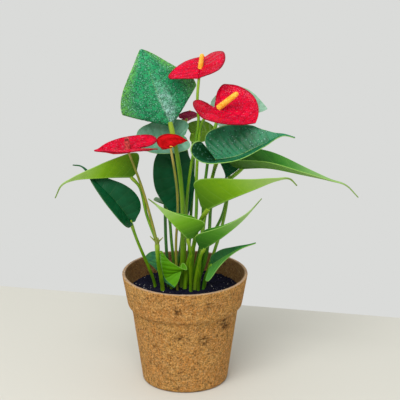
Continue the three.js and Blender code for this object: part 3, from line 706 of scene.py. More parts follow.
stalk_tree, given = geometry_tree(
    "stalk_along_path",
    [
        ("Foot Radius", "Float", 0.002),
        ("Joint Radius", "Float", 0.0015),
        ("Swelling", "Float", 0.25),
        ("Sides", "Int", 14),
        ("Steps", "Int", 60),
        ("Skin", "Material", None),
    ],
)
resampled = {"Curve": given["Geometry"], "Count": given["Steps"]}
path = add(stalk_tree, "GeometryNodeResampleCurve", resampled)[0]
part = add(stalk_tree, "GeometryNodeSplineParameter")["Factor"]
marking = {"Geometry": path, "Name": "along", "Value": part}
on_points = dict(data_type="FLOAT", domain="POINT")
marked = add(stalk_tree, "GeometryNodeStoreNamedAttribute", marking, **on_points)[0]
nearness = (part - JOINT_START) / JOINT_LENGTH
swell = calc("EXPONENT", nearness * nearness * -1.0)
thinned = part * (given["Joint Radius"] - given["Foot Radius"]) + given["Foot Radius"]
stem = tube(marked, thinned * (swell * given["Swelling"] + 1.0), given["Sides"])
give(stalk_tree, "Geometry", {"Geometry": made_real(stem, given["Skin"])})

# %% [markdown]
# ## Smooth curves
# Stalks, midribs and leaf outlines are all drawn as a few points with a smooth line through them.
# The spacing rule below keeps the line from overshooting where two points lie close together.

# %% Curves through points
FINE_POINTS = 401
AHEAD = 0.002


def through(points, share):
    """Points at the given shares (0 to 1) of a smooth line through the given points."""
    knots = np.array([tuple(p) + (0,) * (3 - len(p)) for p in points], float)
    knots = np.vstack([2 * knots[0] - knots[1], knots, 2 * knots[-1] - knots[-2]])
    place = np.clip(np.asarray(share, float), 0, 1) * (len(points) - 1)
    span = np.minimum(place.astype(int), len(points) - 2)
    t = (place - span)[..., None]
    a, b, c, d = (knots[span + k] for k in range(4))
    steps = (b - a, c - b, d - c)
    gap = [np.sqrt(np.linalg.norm(step, axis=-1, keepdims=True)) for step in steps]
    leave = ((b - a) / gap[0] - (c - a) / (gap[0] + gap[1]) + (c - b) / gap[1]) * gap[1]
    enter = ((c - b) / gap[1] - (d - b) / (gap[1] + gap[2]) + (d - c) / gap[2]) * gap[1]
    return (
        b
        + leave * t
        + (3 * (c - b) - 2 * leave - enter) * t**2
        + (2 * (b - c) + leave + enter) * t**3
    )


def evenly(points, share):
    """The same, but shares are of the line's length. Also gives the directions and the length."""
    fine = np.linspace(0, 1, FINE_POINTS)
    line = through(points, fine)
    run = np.concatenate([[0], np.cumsum(np.linalg.norm(np.diff(line, axis=0), axis=1))])
    at = np.interp(np.clip(share, 0, 1) * run[-1], run, fine)
    before, after = np.clip(at - AHEAD, 0, 1), np.clip(at + AHEAD, 0, 1)
    ahead = through(points, after) - through(points, before)
    return through(points, at), ahead / np.linalg.norm(ahead, axis=-1, keepdims=True), run[-1]


half_way, _, run = evenly([(0, 0, 0), (3, 4, 0), (6, 8, 0)], np.array([0.5]))
print("Half way along a line of", round(float(run), 1), "mm:", half_way[0])

# %% Stalks
STALK_FOOT = 72
SOIL_TOP = 98
PATH_STEPS = 80


def curve_object(name, line):
    """A curve with straight steps through points in millimetres."""
    curve = bpy.data.curves.new(name, "CURVE")
    curve.dimensions = "3D"
    spline = curve.splines.new("POLY")
    spline.points.add(len(line) - 1)
    spline.points.foreach_set("co", np.column_stack([line * MM, np.ones(len(line))]).ravel())
    return add_object(name + "_path", curve)


def stem_piece(name, points, radii, swelling, skin):
    """A stem along the points, made by the stalk's tree."""
    source = curve_object(name, through(points, np.linspace(0, 1, PATH_STEPS)))
    foot_radius, joint_radius = (radius * MM for radius in radii)
    sizes = dict(foot_radius=foot_radius, joint_radius=joint_radius, swelling=swelling)
    return grow(source, stalk_tree, name, skin=skin, **sizes)


def stalk_piece(name, foot, by, radii, end, skin, swelling=0.25):
    """A stalk from inside the soil, past the points in by, to its end."""
    points = [(*foot, STALK_FOOT), (*foot, SOIL_TOP + 1), *by, tuple(end)]
    return stem_piece(name, points, radii, swelling, skin)


print("Stalks stand", SOIL_TOP - STALK_FOOT, "mm deep in the soil")

# %% [markdown]
# ## The blade
# Every leaf and every spathe is one kind of surface. It is laid out flat first, from an outline
# for each half, then bent about its midrib and carried along the midrib's curve. Fold raises the
# halves like a book, cup curves them, and a lobe behind the joint may curl over a line or roll
# into a cone. The grid lines run from the midrib to the edge just as the side veins do, so the
# flat map is also a map of the veins. An outline lists points of the edge, as shares of the length
# and the half width.

# %% Outlines of the leaves
LEAF_OUTLINE = [
    (-0.04, 0.4), (-0.08, 0.76), (-0.06, 0.96), (0.03, 0.98), (0.18, 0.83), (0.34, 0.63),
    (0.48, 0.43), (0.61, 0.24), (0.73, 0.09), (0.85, 0.045), (1.0, 0.025),
]
FORWARD_OUTLINE = [
    (0.0, 0.35), (0.01, 0.7), (0.04, 0.94), (0.11, 0.99), (0.24, 0.84), (0.38, 0.62),
    (0.52, 0.42), (0.66, 0.24), (0.78, 0.1), (0.88, 0.05), (1.0, 0.025),
]
BROAD_OUTLINE = [
    (-0.04, 0.25), (-0.04, 0.55), (0.06, 0.84), (0.24, 1.0), (0.42, 1.0), (0.56, 0.84),
    (0.7, 0.6), (0.82, 0.38), (0.93, 0.18), (1.0, 0.03),
]
CORDATE_OUTLINE = [
    (-0.02, 0.12), (-0.08, 0.36), (-0.1, 0.65), (-0.06, 0.88), (0.06, 1.0), (0.24, 1.04),
    (0.42, 0.94), (0.57, 0.7), (0.69, 0.4), (0.79, 0.15), (0.88, 0.05), (1.0, 0.025),
]
OVATE_OUTLINE = [
    (0.0, 0.3), (0.02, 0.62), (0.1, 0.9), (0.24, 1.0), (0.4, 0.86), (0.54, 0.6),
    (0.66, 0.36), (0.76, 0.14), (0.86, 0.05), (1.0, 0.025),
]
ROLLED_OUTLINE = [
    (-0.12, 0.03), (-0.26, 0.07), (-0.36, 0.15), (-0.37, 0.38), (-0.3, 0.65),
    (-0.18, 0.82), (-0.04, 0.86), (0.1, 0.82), (0.22, 0.72), (0.38, 0.56), (0.52, 0.42),
    (0.64, 0.27), (0.75, 0.12), (0.86, 0.05), (1.0, 0.025),
]
DROOPING_OUTLINE = [
    (0.0, 0.06), (0.1, 0.17), (0.18, 0.27), (0.32, 0.5), (0.5, 0.93), (0.64, 1.0),
    (0.76, 0.98), (0.88, 0.8), (0.96, 0.45), (1.0, 0.06),
]
SHORT_OUTLINE = [
    (0.0, 0.2), (0.02, 0.5), (0.12, 0.76), (0.22, 0.72), (0.34, 0.48), (0.53, 0.2),
    (0.75, 0.1), (1.0, 0.05),
]
NARROW_OUTLINE = [
    (0.0, 0.2), (0.01, 0.4), (0.05, 0.52), (0.2, 0.56), (0.36, 0.48), (0.52, 0.32),
    (0.7, 0.16), (0.85, 0.06), (1.0, 0.03),
]
SLIM_OUTLINE = [
    (-0.06, 0.4), (-0.12, 0.8), (-0.06, 0.98), (0.04, 0.86), (0.16, 0.58), (0.3, 0.34),
    (0.48, 0.18), (0.72, 0.08), (1.0, 0.03),
]

print("Ten outlines for leaves, the widest of", len(CORDATE_OUTLINE), "points")

# %% Outlines of spathes and bracts
ROUND_OUTLINE = [
    (-0.03, 0.3), (-0.05, 0.66), (-0.02, 0.92), (0.1, 1.0), (0.3, 0.9), (0.54, 0.68),
    (0.76, 0.42), (0.92, 0.18), (1.0, 0.05),
]
LONG_LOBED_OUTLINE = [
    (-0.3, 0.06), (-0.6, 0.25), (-0.74, 0.55), (-0.6, 0.88), (-0.2, 1.0), (0.2, 0.93),
    (0.5, 0.7), (0.75, 0.4), (0.9, 0.15), (1.0, 0.03),
]
BLUNT_OUTLINE = [
    (-0.04, 0.25), (-0.12, 0.55), (-0.06, 0.84), (0.2, 1.0), (0.5, 0.98), (0.72, 0.85),
    (0.89, 0.6), (0.98, 0.3), (1.0, 0.06),
]
SPATHE_OUTLINE = [
    (-0.2, 0.05), (-0.4, 0.25), (-0.48, 0.56), (-0.38, 0.86), (-0.08, 1.0), (0.24, 0.94),
    (0.52, 0.74), (0.74, 0.47), (0.9, 0.2), (1.0, 0.04),
]
BRACT_OUTLINE = [
    (0.0, 0.6), (0.2, 0.95), (0.45, 1.0), (0.75, 0.6), (1.0, 0.2),
]

print("A spathe reaches", -SPATHE_OUTLINE[2][0], "of its length back past its joint")

# %% Lobes
def curl(x, y, lobe):
    """Bends what lies behind a slanting line near the joint."""
    scale = math.hypot(1, lobe["slope"])
    depth = (lobe["slope"] * y - x) / scale - lobe.get("start", 0)
    limit = math.radians(abs(lobe["angle"]))
    bent = np.maximum(depth, 0)
    turned = np.minimum(bent / lobe["radius"], limit)
    rest = np.maximum(0, bent - lobe["radius"] * limit)
    shift = lobe["radius"] * np.sin(turned) + rest * math.cos(limit) - bent
    lift = lobe["radius"] * (1 - np.cos(turned)) + rest * math.sin(limit)
    lift = math.copysign(1, lobe["angle"]) * lift
    return x - shift / scale, y + shift * lobe["slope"] / scale, lift


def roll(x, y, lobe):
    """Rolls what lies behind a line from the joint into a cone that has its point at the joint."""
    start, cone = math.radians(lobe["begin"]), math.radians(lobe["cone"])
    turned = np.arctan2(-x, y) - start
    reach = np.hypot(x, y)
    around = turned / math.sin(cone)
    ahead = math.cos(cone) ** 2 + math.sin(cone) ** 2 * np.cos(around)
    aside = math.sin(cone) * np.sin(around)
    rolled = (
        -reach * (ahead * math.sin(start) + aside * math.cos(start)),
        reach * (ahead * math.cos(start) - aside * math.sin(start)),
        reach * math.sin(cone) * math.cos(cone) * (1 - np.cos(around)),
    )
    return [np.where(turned > 0, new, old) for new, old in zip(rolled, (x, y, 0))]


curled = curl(np.array([-10.0]), np.array([0.0]), dict(slope=0, angle=90, radius=3))
print("Curled up over 3 mm, a point 10 mm back is lifted by", round(float(curled[2][0]), 1), "mm")

# %% Halves laid flat
VEIN_SPREAD = 1.2
VEIN_BEND = 0.06


def halves(spec, name, usual):
    """A setting of the two halves, which is given once or as a pair."""
    return spec.get(name + "s") or (spec.get(name, usual),) * 2


def flat_half(spec, length, outline, lobe, u, w):
    """One half laid out flat: along, aside and lifted. At w 0 is the midrib, and at 1 the edge."""
    rim = through([(x * length, y * spec["half_width"]) for x, y in outline], u)
    root = length * u**VEIN_SPREAD
    bend = spec.get("vein_bend", VEIN_BEND) * length * (1 - u) ** 2
    middle = (root + rim[:, 0]) / 2 - bend
    x = (1 - w) ** 2 * root + 2 * w * (1 - w) * middle + w**2 * rim[:, 0]
    y = w * rim[:, 1]
    if not lobe:
        return x, y, 0
    return (roll if "cone" in lobe else curl)(x, y, lobe)


print("A side vein bends back by up to", VEIN_BEND, "of the blade's length")

# %% The blade's surface
FLATTEN = 0.3
RIPPLE_START = 6


def blade_points(spec, u, v):
    """Points of the middle surface, in millimetres, for u from 0 to 1 along and v from -1 to 1."""
    length = evenly(spec["midrib"], np.array([0.0]))[2]
    usual = dict(outline=LEAF_OUTLINE, lobe=None, fold=0, cup=0)
    settings = zip(*(halves(spec, name, value) for name, value in usual.items()))
    found = np.zeros(u.shape + (3,))
    for sign, mask, (outline, lobe, fold, cup) in zip((-1, 1), (v < 0, v >= 0), settings):
        w = np.abs(v[mask])
        x, y, lift = flat_half(spec, length, outline, lobe, u[mask], w)
        part = np.clip(x / length, 0, 1)
        centre, along, _ = evenly(spec["midrib"], part)
        centre = centre + along * np.minimum(x, 0)[:, None]
        face = np.array(spec["up"], float)
        face = face - along * (along @ face)[:, None]
        face /= np.linalg.norm(face, axis=1, keepdims=True)
        side = np.cross(along, face)
        ease = 1 - spec.get("flatten", FLATTEN) * part
        angle = np.radians(fold * ease + cup * y / (2 * spec["half_width"]))
        wave = spec.get("ripple", 0) * w**2 * np.minimum(1, y / RIPPLE_START)
        wave = wave * np.sin(4 * math.pi * x / length)
        out, up = sign * y * np.cos(angle), y * np.sin(angle) + wave + lift
        found[mask] = centre + side * out[:, None] + face * up[:, None]
    return found


def blade_point(spec, u):
    """One point of the midrib, as a tuple."""
    return tuple(blade_points(spec, np.array([u]), np.array([0.0]))[0])


sample = dict(midrib=[(0, 0, 0), (50, 0, 0)], half_width=20, up=(0, 0, 1))
print("Half way along a flat sample blade:", [round(float(c), 1) for c in blade_point(sample, 0.5)])

# %% [markdown]
# A blade has a little thickness, a raised midrib below, side veins that lie deeper than the skin
# between them, and on a spathe a slight crumple. Bump alone would leave its edge straight, so all
# of this is in the mesh.

# %% Veins and crumple in the mesh
LEAF_VEINS = 9
SPATHE_VEINS = 7
VEIN_DEPTH = 0.22
BLISTER_DEPTH = 0.45
SWELL_REACH = 0.9
MIDRIB_CLEAR = 0.12


def sunken(u, v, veins, depth):
    """How far the side veins lie below the swelling skin between them, in millimetres."""
    away = 2 * np.abs((u * veins) % 1 - 0.5)
    swelling = np.sin(np.clip(away / SWELL_REACH, 0, 1) * math.pi / 2)
    across = np.abs(v)
    fading = np.clip(across / MIDRIB_CLEAR, 0, 1) * (1 - across**6) * (1 - u**3)
    return depth * (1 - swelling) * fading


def crumpled(u, v):
    """Slow waves from -1 to 1, which fade out at the joint and at the tip."""
    fading = np.clip(4 * u, 0, 1) * np.clip(4 - 4 * u, 0, 1)
    return np.sin(9 * u + 5 * v) * np.cos(8 * v - 6 * u) * fading


print("Side veins lie", VEIN_DEPTH, "mm deep on a leaf and", BLISTER_DEPTH, "mm on a spathe")

# %% The blade as a mesh
LEAF_MESH = dict(thickness=0.8, rise=0.7, depth=VEIN_DEPTH, rows=96, columns=18)
MIDRIB_WIDTH = 1.1
GROOVE = 0.25
ROW_SPREAD = 1.15


def sheet_faces(shape):
    """Faces of a closed sheet: an upper and a lower grid of points, joined round their edge."""
    count = shape[0] * shape[1]
    grid = np.arange(count).reshape(shape)
    corners = (grid[:-1, :-1], grid[:-1, 1:], grid[1:, 1:], grid[1:, :-1])
    upper = np.stack([corner.ravel() for corner in corners], axis=1)
    edge = np.concatenate([grid[0, :-1], grid[:-1, -1], grid[-1, :0:-1], grid[:0:-1, 0]])
    following = np.roll(edge, -1)
    rim = np.stack([edge, edge + count, following + count, following], axis=1)
    return np.vstack([upper, upper[:, ::-1] + count, rim])


def blade_piece(name, spec, skin, **other):
    """A closed blade. Rows are close at the joint, and columns at the midrib and the edge."""
    thickness, rise, depth, rows, columns = (LEAF_MESH | other).values()
    half = (1 - np.cos(np.linspace(0, math.pi, columns + 1))) / 2
    v_line = np.concatenate([-half[::-1], half[1:]])
    u, v = np.meshgrid(np.linspace(0, 1, rows + 1) ** ROW_SPREAD, v_line, indexing="ij")
    middle = blade_points(spec, u, v)
    normal = np.cross(np.gradient(middle, axis=1), np.gradient(middle, axis=0))
    normal /= np.maximum(np.linalg.norm(normal, axis=2, keepdims=True), 1e-9)
    sinking = sunken(u, v, spec.get("veins", LEAF_VEINS), depth)
    shift = spec.get("crumple", 0) * crumpled(u, v) - sinking
    middle += normal * shift[..., None]
    rib = rise * (1 - u) * np.exp(-((np.abs(v) * spec["half_width"] / MIDRIB_WIDTH) ** 2))
    top = middle + normal * (thickness / 2 - GROOVE * rib)[..., None]
    bottom = middle - normal * (thickness / 2 + rib)[..., None]
    points = np.vstack([top.reshape(-1, 3), bottom.reshape(-1, 3)]) * MM
    piece = mesh_object(name, points, sheet_faces(u.shape), skin)
    flat = np.tile(np.column_stack([(v.ravel() + 1) / 2, u.ravel()]), (2, 1))
    corners = np.zeros(len(piece.data.loops), int)
    piece.data.loops.foreach_get("vertex_index", corners)
    piece.data.uv_layers.new(name="blade").data.foreach_set("uv", flat[corners].ravel())
    upper = piece.data.attributes.new("upper", "FLOAT", "POINT")
    upper.data.foreach_set("value", np.repeat([1.0, 0.0], u.size))
    return piece


print("A blade has", len(sheet_faces((97, 37))), "faces")

# %% [markdown]
# ## Geometry Nodes: drops of water
# The plant has been sprayed, and the drops stand on the upper faces as small domes. A tree
# scatters points over the faces marked as upper, sets a flattened ball of a few faces on each, and
# makes the balls real. The seed is fixed, so the same drops come back each time.

# %% Tools for scattering
def scatter(mesh, selection, seed, method, amounts):
    """Points scattered over the chosen faces of a mesh."""
    inputs = {"Mesh": mesh, "Selection": selection, "Seed": seed, **amounts}
    way = dict(distribute_method=method)
    return add(tree_of(mesh), "GeometryNodeDistributePointsOnFaces", inputs, **way)


def random_size(smallest, largest, seed):
    """A number between two limits, another one for each point."""
    inputs = {"Min": smallest, "Max": largest, "Seed": seed}
    return add(tree_of(seed), "FunctionNodeRandomValue", inputs, data_type="FLOAT")["Value"]


def random_turn(limits, seed):
    """A turn about each axis up to a limit, another one for each point."""
    inputs = {0: (0, 0, 0), 1: limits, "Seed": seed}
    return add(tree_of(seed), "FunctionNodeRandomValue", inputs, data_type="FLOAT_VECTOR")[0]


def stone(tree, scale):
    """A ball of twenty faces, stretched or flattened."""
    ball = add(tree, "GeometryNodeMeshIcoSphere", {"Radius": 1.0, "Subdivisions": 1})[0]
    return add(tree, "GeometryNodeTransform", {"Geometry": ball, "Scale": scale})[0]


def carried(tree, name, kind):
    """What the mesh carries under a name."""
    inputs = {"Name": name}
    return add(tree, "GeometryNodeInputNamedAttribute", inputs, data_type=kind)["Attribute"]


def set_on(points, instance, scale, **turn):
    """One instance on each point."""
    inputs = {"Points": points, "Instance": instance, "Scale": scale, **turn}
    return add(tree_of(points), "GeometryNodeInstanceOnPoints", inputs)[0]


print("Scattering takes a fixed seed, so each run gives the same points")

# %% The drops' tree
DROP_FLATNESS = 0.45
WET_EDGE = 0.47

drops_tree, given = geometry_tree(
    "water_drops",
    [
        ("Amount", "Float", 40000.0),
        ("Spacing", "Float", 0.0012),
        ("Smallest", "Float", 0.0003),
        ("Largest", "Float", 0.0008),
        ("Seed", "Int", 1),
        ("Water", "Material", None),
    ],
)
upper_mark = carried(drops_tree, "upper", "FLOAT")
flat_map = carried(drops_tree, "blade", "FLOAT_VECTOR")
off_edge = abs(part_of(flat_map, 0) - 0.5) < WET_EDGE
may_be_wet = (upper_mark > 0.9) * off_edge
amounts = {"Distance Min": given["Spacing"], "Density Max": given["Amount"]}
spots = scatter(given["Geometry"], may_be_wet, given["Seed"], "POISSON", amounts)
size = random_size(given["Smallest"], given["Largest"], given["Seed"])
drop = stone(drops_tree, (1, 1, DROP_FLATNESS))
domes = set_on(spots["Points"], drop, size, Rotation=spots["Rotation"])
wetted = made_real(domes, given["Water"], smooth=True)
give(drops_tree, "Geometry", {"Geometry": joined(wetted, given["Geometry"])})

# %% [markdown]
# ## The leaves
# A leaf is one grown piece: a stalk that stands in the soil and a blade on its joint. It could be
# modelled by hand, but a recipe that takes a list of sizes gives sixteen different leaves alike in
# kind. The first group is the big leaf at the top and those on the left.

# %% Making a leaf
LEAF_SEAT = 0.04


def make_leaf(name, node, skin, stalk_skin, drops=0, **spec):
    """A whole leaf: its stalk, its blade and, if it is wet, its drops of water."""
    end = blade_point(spec, LEAF_SEAT)
    stalk_look = STALK_SKINS[stalk_skin]
    stalk = stalk_piece(name + "_stalk", spec["foot"], spec["by"], spec["radii"], end, stalk_look)
    leaf = join([blade_piece(name + "_blade", spec, LEAF_SKINS[skin]), stalk], name)
    if drops:
        leaf = grow(leaf, drops_tree, name, amount=float(drops), water=water)
    dress(leaf, node)


print("A stalk meets its blade at", LEAF_SEAT, "of the midrib")

# %% Leaves at the top and on the left
make_leaf(
    "top_leaf", "leaf_top", "deep", "lime", drops=13000,
    foot=(-3, 7), by=[(-2, 5, 180), (-4, 4, 215), (-8, 3, 245)], radii=(2.7, 2.2),
    midrib=[(-14, 10, 274), (-29, 12, 309), (-39, 18, 337), (-44, 22, 348)], outline=BROAD_OUTLINE,
    half_width=40, up=(0.15, -0.9, 0.35), fold=8, cup=-18, ripple=1.2,
    lobes=[dict(slope=0.8, angle=-110, radius=3), dict(slope=0.65, angle=-110, radius=3)],
)
make_leaf(
    "grey_leaf_behind_left", "leaf_behind_left", "grey", "dark",
    foot=(-11, 11), by=[(-4, 20, 140), (0, 30, 185), (4, 31, 222)], radii=(1.8, 1.5),
    midrib=[(-1, 22, 257), (-18, 21, 256), (-35, 18, 256), (-49, 14, 260)], outline=BLUNT_OUTLINE,
    half_width=18, up=(0.1, -0.85, 0.5), fold=12,
)
make_leaf(
    "hanging_leaf_in_centre", "leaf_hanging_centre", "dark", "dark",
    foot=(-17, 7), by=[(-20, 16, 154), (-20, 28, 190), (-17, 30, 220)], radii=(1.8, 1.5),
    midrib=[(-14, 24, 239), (-11, 20, 211), (-5, 17, 180), (-1, 16, 159)], outline=BROAD_OUTLINE,
    half_width=21, up=(0.1, -0.95, 0.2), fold=8,
)
make_leaf(
    "dark_leaf_on_left", "leaf_left_dark", "dark", "lime",
    foot=(-31, 6), by=[(-38, -4, 126), (-43, -10, 141), (-49, -17, 160)], radii=(1.7, 1.5),
    midrib=[(-54, -22, 180), (-69, -27, 203), (-92, -24, 227), (-103, -20, 238), (-112, -18, 239)],
    outline=OVATE_OUTLINE, half_width=21, up=(0.35, -0.85, 0.35), folds=(52, 8),
)

# %% [markdown]
# The next leaves stand in the middle and point right. The young ones are folded upwards like a
# boat, so from the front their paler undersides show.

# %% Leaves in the middle
make_leaf(
    "bright_leaf_in_centre", "leaf_centre_lime", "bright", "lime",
    foot=(6, -6), by=[(6, -16, 126), (6, -30, 149)], radii=(1.9, 1.5),
    midrib=[(4, -38, 167), (-14, -42, 188), (-28, -44, 205), (-36, -44, 212)],
    outline=FORWARD_OUTLINE, half_width=25, up=(0.62, 0.36, 0.69), fold=62,
)
make_leaf(
    "lime_leaf_on_right", "leaf_right_lime", "lime", "lime",
    foot=(0, 0), by=[(3, -2, 126), (9, -12, 150), (14, -20, 176)], radii=(2.4, 2.1),
    midrib=[
        (22, -31, 196), (44, -35, 208), (70, -38, 220), (91, -39, 229), (104, -39, 231),
        (112, -39, 224),
    ],
    outline=FORWARD_OUTLINE, half_width=34, up=(-0.35, 0.39, 0.84), fold=60,
)
make_leaf(
    "mid_leaf_on_right", "leaf_right_mid", "rising", "lime",
    foot=(14, -3), by=[(15, -14, 119), (16, -28, 144)], radii=(1.8, 1.5),
    midrib=[(19, -36, 156), (38, -42, 171), (58, -46, 190), (77, -46, 213)],
    outline=FORWARD_OUTLINE, half_width=18, up=(-0.5, 0.28, 0.8), fold=60,
)
make_leaf(
    "low_leaf_on_right", "leaf_right_low", "narrow", "green",
    foot=(19, -2), by=[(20, -4, 108), (23, -9, 120)], radii=(1.7, 1.4),
    midrib=[(27, -14, 130), (42, -22, 143), (57, -28, 154), (72, -30, 160)], half_width=20,
    outlines=[NARROW_OUTLINE, SLIM_OUTLINE], up=(-0.4, -0.2, 0.9), folds=(25, -15),
)
make_leaf(
    "low_leaf_in_front", "leaf_front_low", "low", "lime",
    foot=(-14, 1), by=[(-18, 3, 114), (-22, 4, 128)], radii=(1.7, 1.4),
    midrib=[(-25, -2, 141), (-24, -6, 127), (-20, -6, 112), (-10, -12, 105)],
    outlines=[DROOPING_OUTLINE, SHORT_OUTLINE], half_width=26, up=(0, -0.9, 0.4), folds=(22, -40),
    vein_bend=-0.08,
)

# %% [markdown]
# On the right, one large leaf is cupped so that a lobe rolls up beside its joint, and one ends in
# a very long tail. A dark leaf hangs between them.

# %% Leaves on the right
make_leaf(
    "cupped_leaf_on_right", "leaf_right_cupped", "teal", "lime", drops=3200,
    foot=(10, -1), by=[(16, -2, 137), (20, 0, 175), (27, 4, 213)], radii=(2.1, 1.8),
    midrib=[(31, -26, 247), (52, -30, 252), (77, -30, 264), (98, -28, 273), (110, -26, 270)],
    outlines=[CORDATE_OUTLINE, ROLLED_OUTLINE], half_width=32, up=(-0.1, -0.35, 0.93),
    folds=(30, 26), cups=(30, 10), lobes=[None, dict(cone=37, begin=-12)],
    veins=16,
)
make_leaf(
    "tailed_leaf_on_right", "leaf_right_tailed", "mid", "green",
    foot=(13, 6), by=[(22, 4, 133), (25, 4, 159), (30, 1, 200)], radii=(1.9, 1.6),
    midrib=[
        (56, -4, 231), (84, -6, 232), (117, -8, 226), (147, -8, 219), (163, -8, 214),
        (176, -8, 201),
    ],
    half_width=28, up=(0.1, 0.0, 1.0), fold=35,
)
make_leaf(
    "hanging_leaf_on_right", "leaf_hanging_right", "dark", "lime",
    foot=(20, 4), by=[(38, 4, 165), (43, 8, 190), (46, 20, 222)], radii=(1.8, 1.5),
    midrib=[(48, 16, 236), (45, 12, 224), (40, 12, 210)], half_width=15, up=(0.0, -0.95, 0.2),
    fold=10,
)

# %% [markdown]
# The last leaves stand at the back. They fill the plant out when it is seen from behind.

# %% Leaves at the back
make_leaf(
    "pale_leaf_behind_right", "leaf_behind_right", "pale", "green",
    foot=(8, 11), by=[(17, 14, 148), (20, 18, 200), (27, 22, 250)], radii=(1.8, 1.5),
    midrib=[(33, 23, 276), (57, 27, 289), (84, 29, 284)], outline=BROAD_OUTLINE, half_width=20,
    up=(-0.2, -0.85, 0.4), fold=12,
)
make_leaf(
    "olive_leaf_behind", "leaf_behind_olive", "olive", "green",
    foot=(3, 16), by=[(5, 24, 150), (8, 32, 200), (9, 36, 235)], radii=(1.8, 1.5),
    midrib=[(7, 38, 255), (24, 41, 256), (40, 42, 253)], outline=CORDATE_OUTLINE, half_width=12,
    up=(0, -0.75, 0.66), fold=12,
)
make_leaf(
    "back_leaf_on_left", "leaf_back_left", "mid", "green",
    foot=(-10, 20), by=[(-14, 26, 140), (-16, 29, 164)], radii=(1.8, 1.5),
    midrib=[(-19, 36, 178), (-21, 54, 176), (-22, 74, 169), (-23, 90, 157)], half_width=15,
    up=(0.0, -0.1, 1.0), fold=25,
)
make_leaf(
    "back_leaf_on_right", "leaf_back_right", "mid", "green",
    foot=(12, 20), by=[(24, 22, 140), (38, 26, 168)], radii=(1.8, 1.5),
    midrib=[(44, 30, 190), (54, 52, 191), (62, 70, 187), (66, 84, 178)], half_width=16,
    up=(0.0, -0.1, 1.0), fold=25,
)

# %% [markdown]
# ## The young shoot
# On the left a stem splits in two between small dry bracts. One branch carries a lime leaf, the
# other a flower. All of it is one grown piece, so its stems and blade are joined into one mesh. It
# is put together further down, once the flower's place is known.

# %% The shoot's sizes
SHOOT = dict(
    foot=(-23, -4), by=[(-24, -9, 112), (-27, -17, 135)], joint=(-28, -22, 156), radii=(2.3, 2.1),
    flower_by=[(-35, -28, 190), (-43, -33, 222)], flower_radii=(1.5, 1.2),
    leaf_by=[(-38, -21, 186), (-45, -25, 218)], leaf_radii=(1.5, 1.5),
    leaf=dict(
        midrib=[
            (-52, -28, 230), (-82, -31, 230), (-111, -34, 228), (-122, -35, 223), (-129, -36, 210),
        ],
        half_width=27, up=(0, 0.35, 0.94), fold=60,
    ),
    bracts=[
        dict(toward=(-7, -2, 9), half_width=2.6), dict(toward=(6, -3, 8), half_width=2.4),
        dict(toward=(1, -6, 9), half_width=2.4),
    ],
)
print("The shoot splits at a height of", SHOOT["joint"][2], "mm")

# %% Making the shoot
BRACT_MESH = dict(thickness=0.7, rise=0.2, depth=0, rows=12, columns=4)
BRANCH_START = 0.8


def bract_piece(name, at, toward, half_width):
    """A small pointed scale that clasps the joint."""
    toward = np.array(toward, float)
    midrib = [tuple(at + share * toward) for share in (-0.25, 0.375, 1)]
    spec = dict(midrib=midrib, half_width=half_width, outline=BRACT_OUTLINE, fold=25)
    spec["up"] = (-toward[0], -toward[1], 3)
    return blade_piece(name, spec, STALK_SKINS["brown"], **BRACT_MESH)


def make_shoot(flower_end):
    """The whole shoot. The flower's branch ends where its spathe sits."""
    at, last = np.array(SHOOT["joint"], float), np.array(SHOOT["by"][-1], float)
    before, joint = tuple(last + BRANCH_START * (at - last)), tuple(at)
    leaf_end = blade_point(SHOOT["leaf"], LEAF_SEAT)
    to_flower = [before, joint, *SHOOT["flower_by"], flower_end]
    to_leaf = [before, joint, *SHOOT["leaf_by"], leaf_end]
    young, brown = STALK_SKINS["lime"], STALK_SKINS["brown"]
    members = [
        blade_piece("shoot_blade", SHOOT["leaf"], LEAF_SKINS["lime"]),
        stalk_piece("shoot_stem", SHOOT["foot"], SHOOT["by"], SHOOT["radii"], joint, young),
        stem_piece("shoot_flower_stem", to_flower, SHOOT["flower_radii"], 0, brown),
        stem_piece("shoot_leaf_stem", to_leaf, SHOOT["leaf_radii"], 0.25, young),
    ]
    members += [bract_piece(f"bract_{k}", at, **bract) for k, bract in enumerate(SHOOT["bracts"])]
    dress(join(members, "young_shoot_on_left"), "shoot_left")


print("The shoot has", len(SHOOT["bracts"]), "bracts")

# %% [markdown]
# ## Geometry Nodes: the spadix
# A spadix is a blunt spike covered with tiny flowers in spirals. The tree walks along the spike's
# axis in equal steps and turns by the golden angle at each, which is how the real florets are
# packed. A small ball stands for each floret, and a core fills the gaps between them.

# %% The spadix's inputs
GOLDEN_ANGLE = math.pi * (3 - math.sqrt(5))
TIP_SHARE = 0.14
CORE_STEPS = 24
CORE_SIDES = 16

spadix_tree, given = geometry_tree(
    "spadix_florets",
    [
        ("Radius", "Float", 0.0025),
        ("Taper", "Float", 0.18),
        ("Florets", "Int", 190),
        ("Floret Size", "Float", 0.16),
        ("Skin", "Material", None),
    ],
)


def spike_radius(part):
    """The spike's radius: it tapers a little and rounds off at its tip."""
    past = greater((part - (1 - TIP_SHARE)) * (1 / TIP_SHARE), 0.0)
    blunt = calc("SQRT", greater(1.0 - past * past, 0.04))
    return blunt * (1.0 - part * given["Taper"]) * given["Radius"]


print("Golden angle:", round(math.degrees(GOLDEN_ANGLE), 1), "degrees")

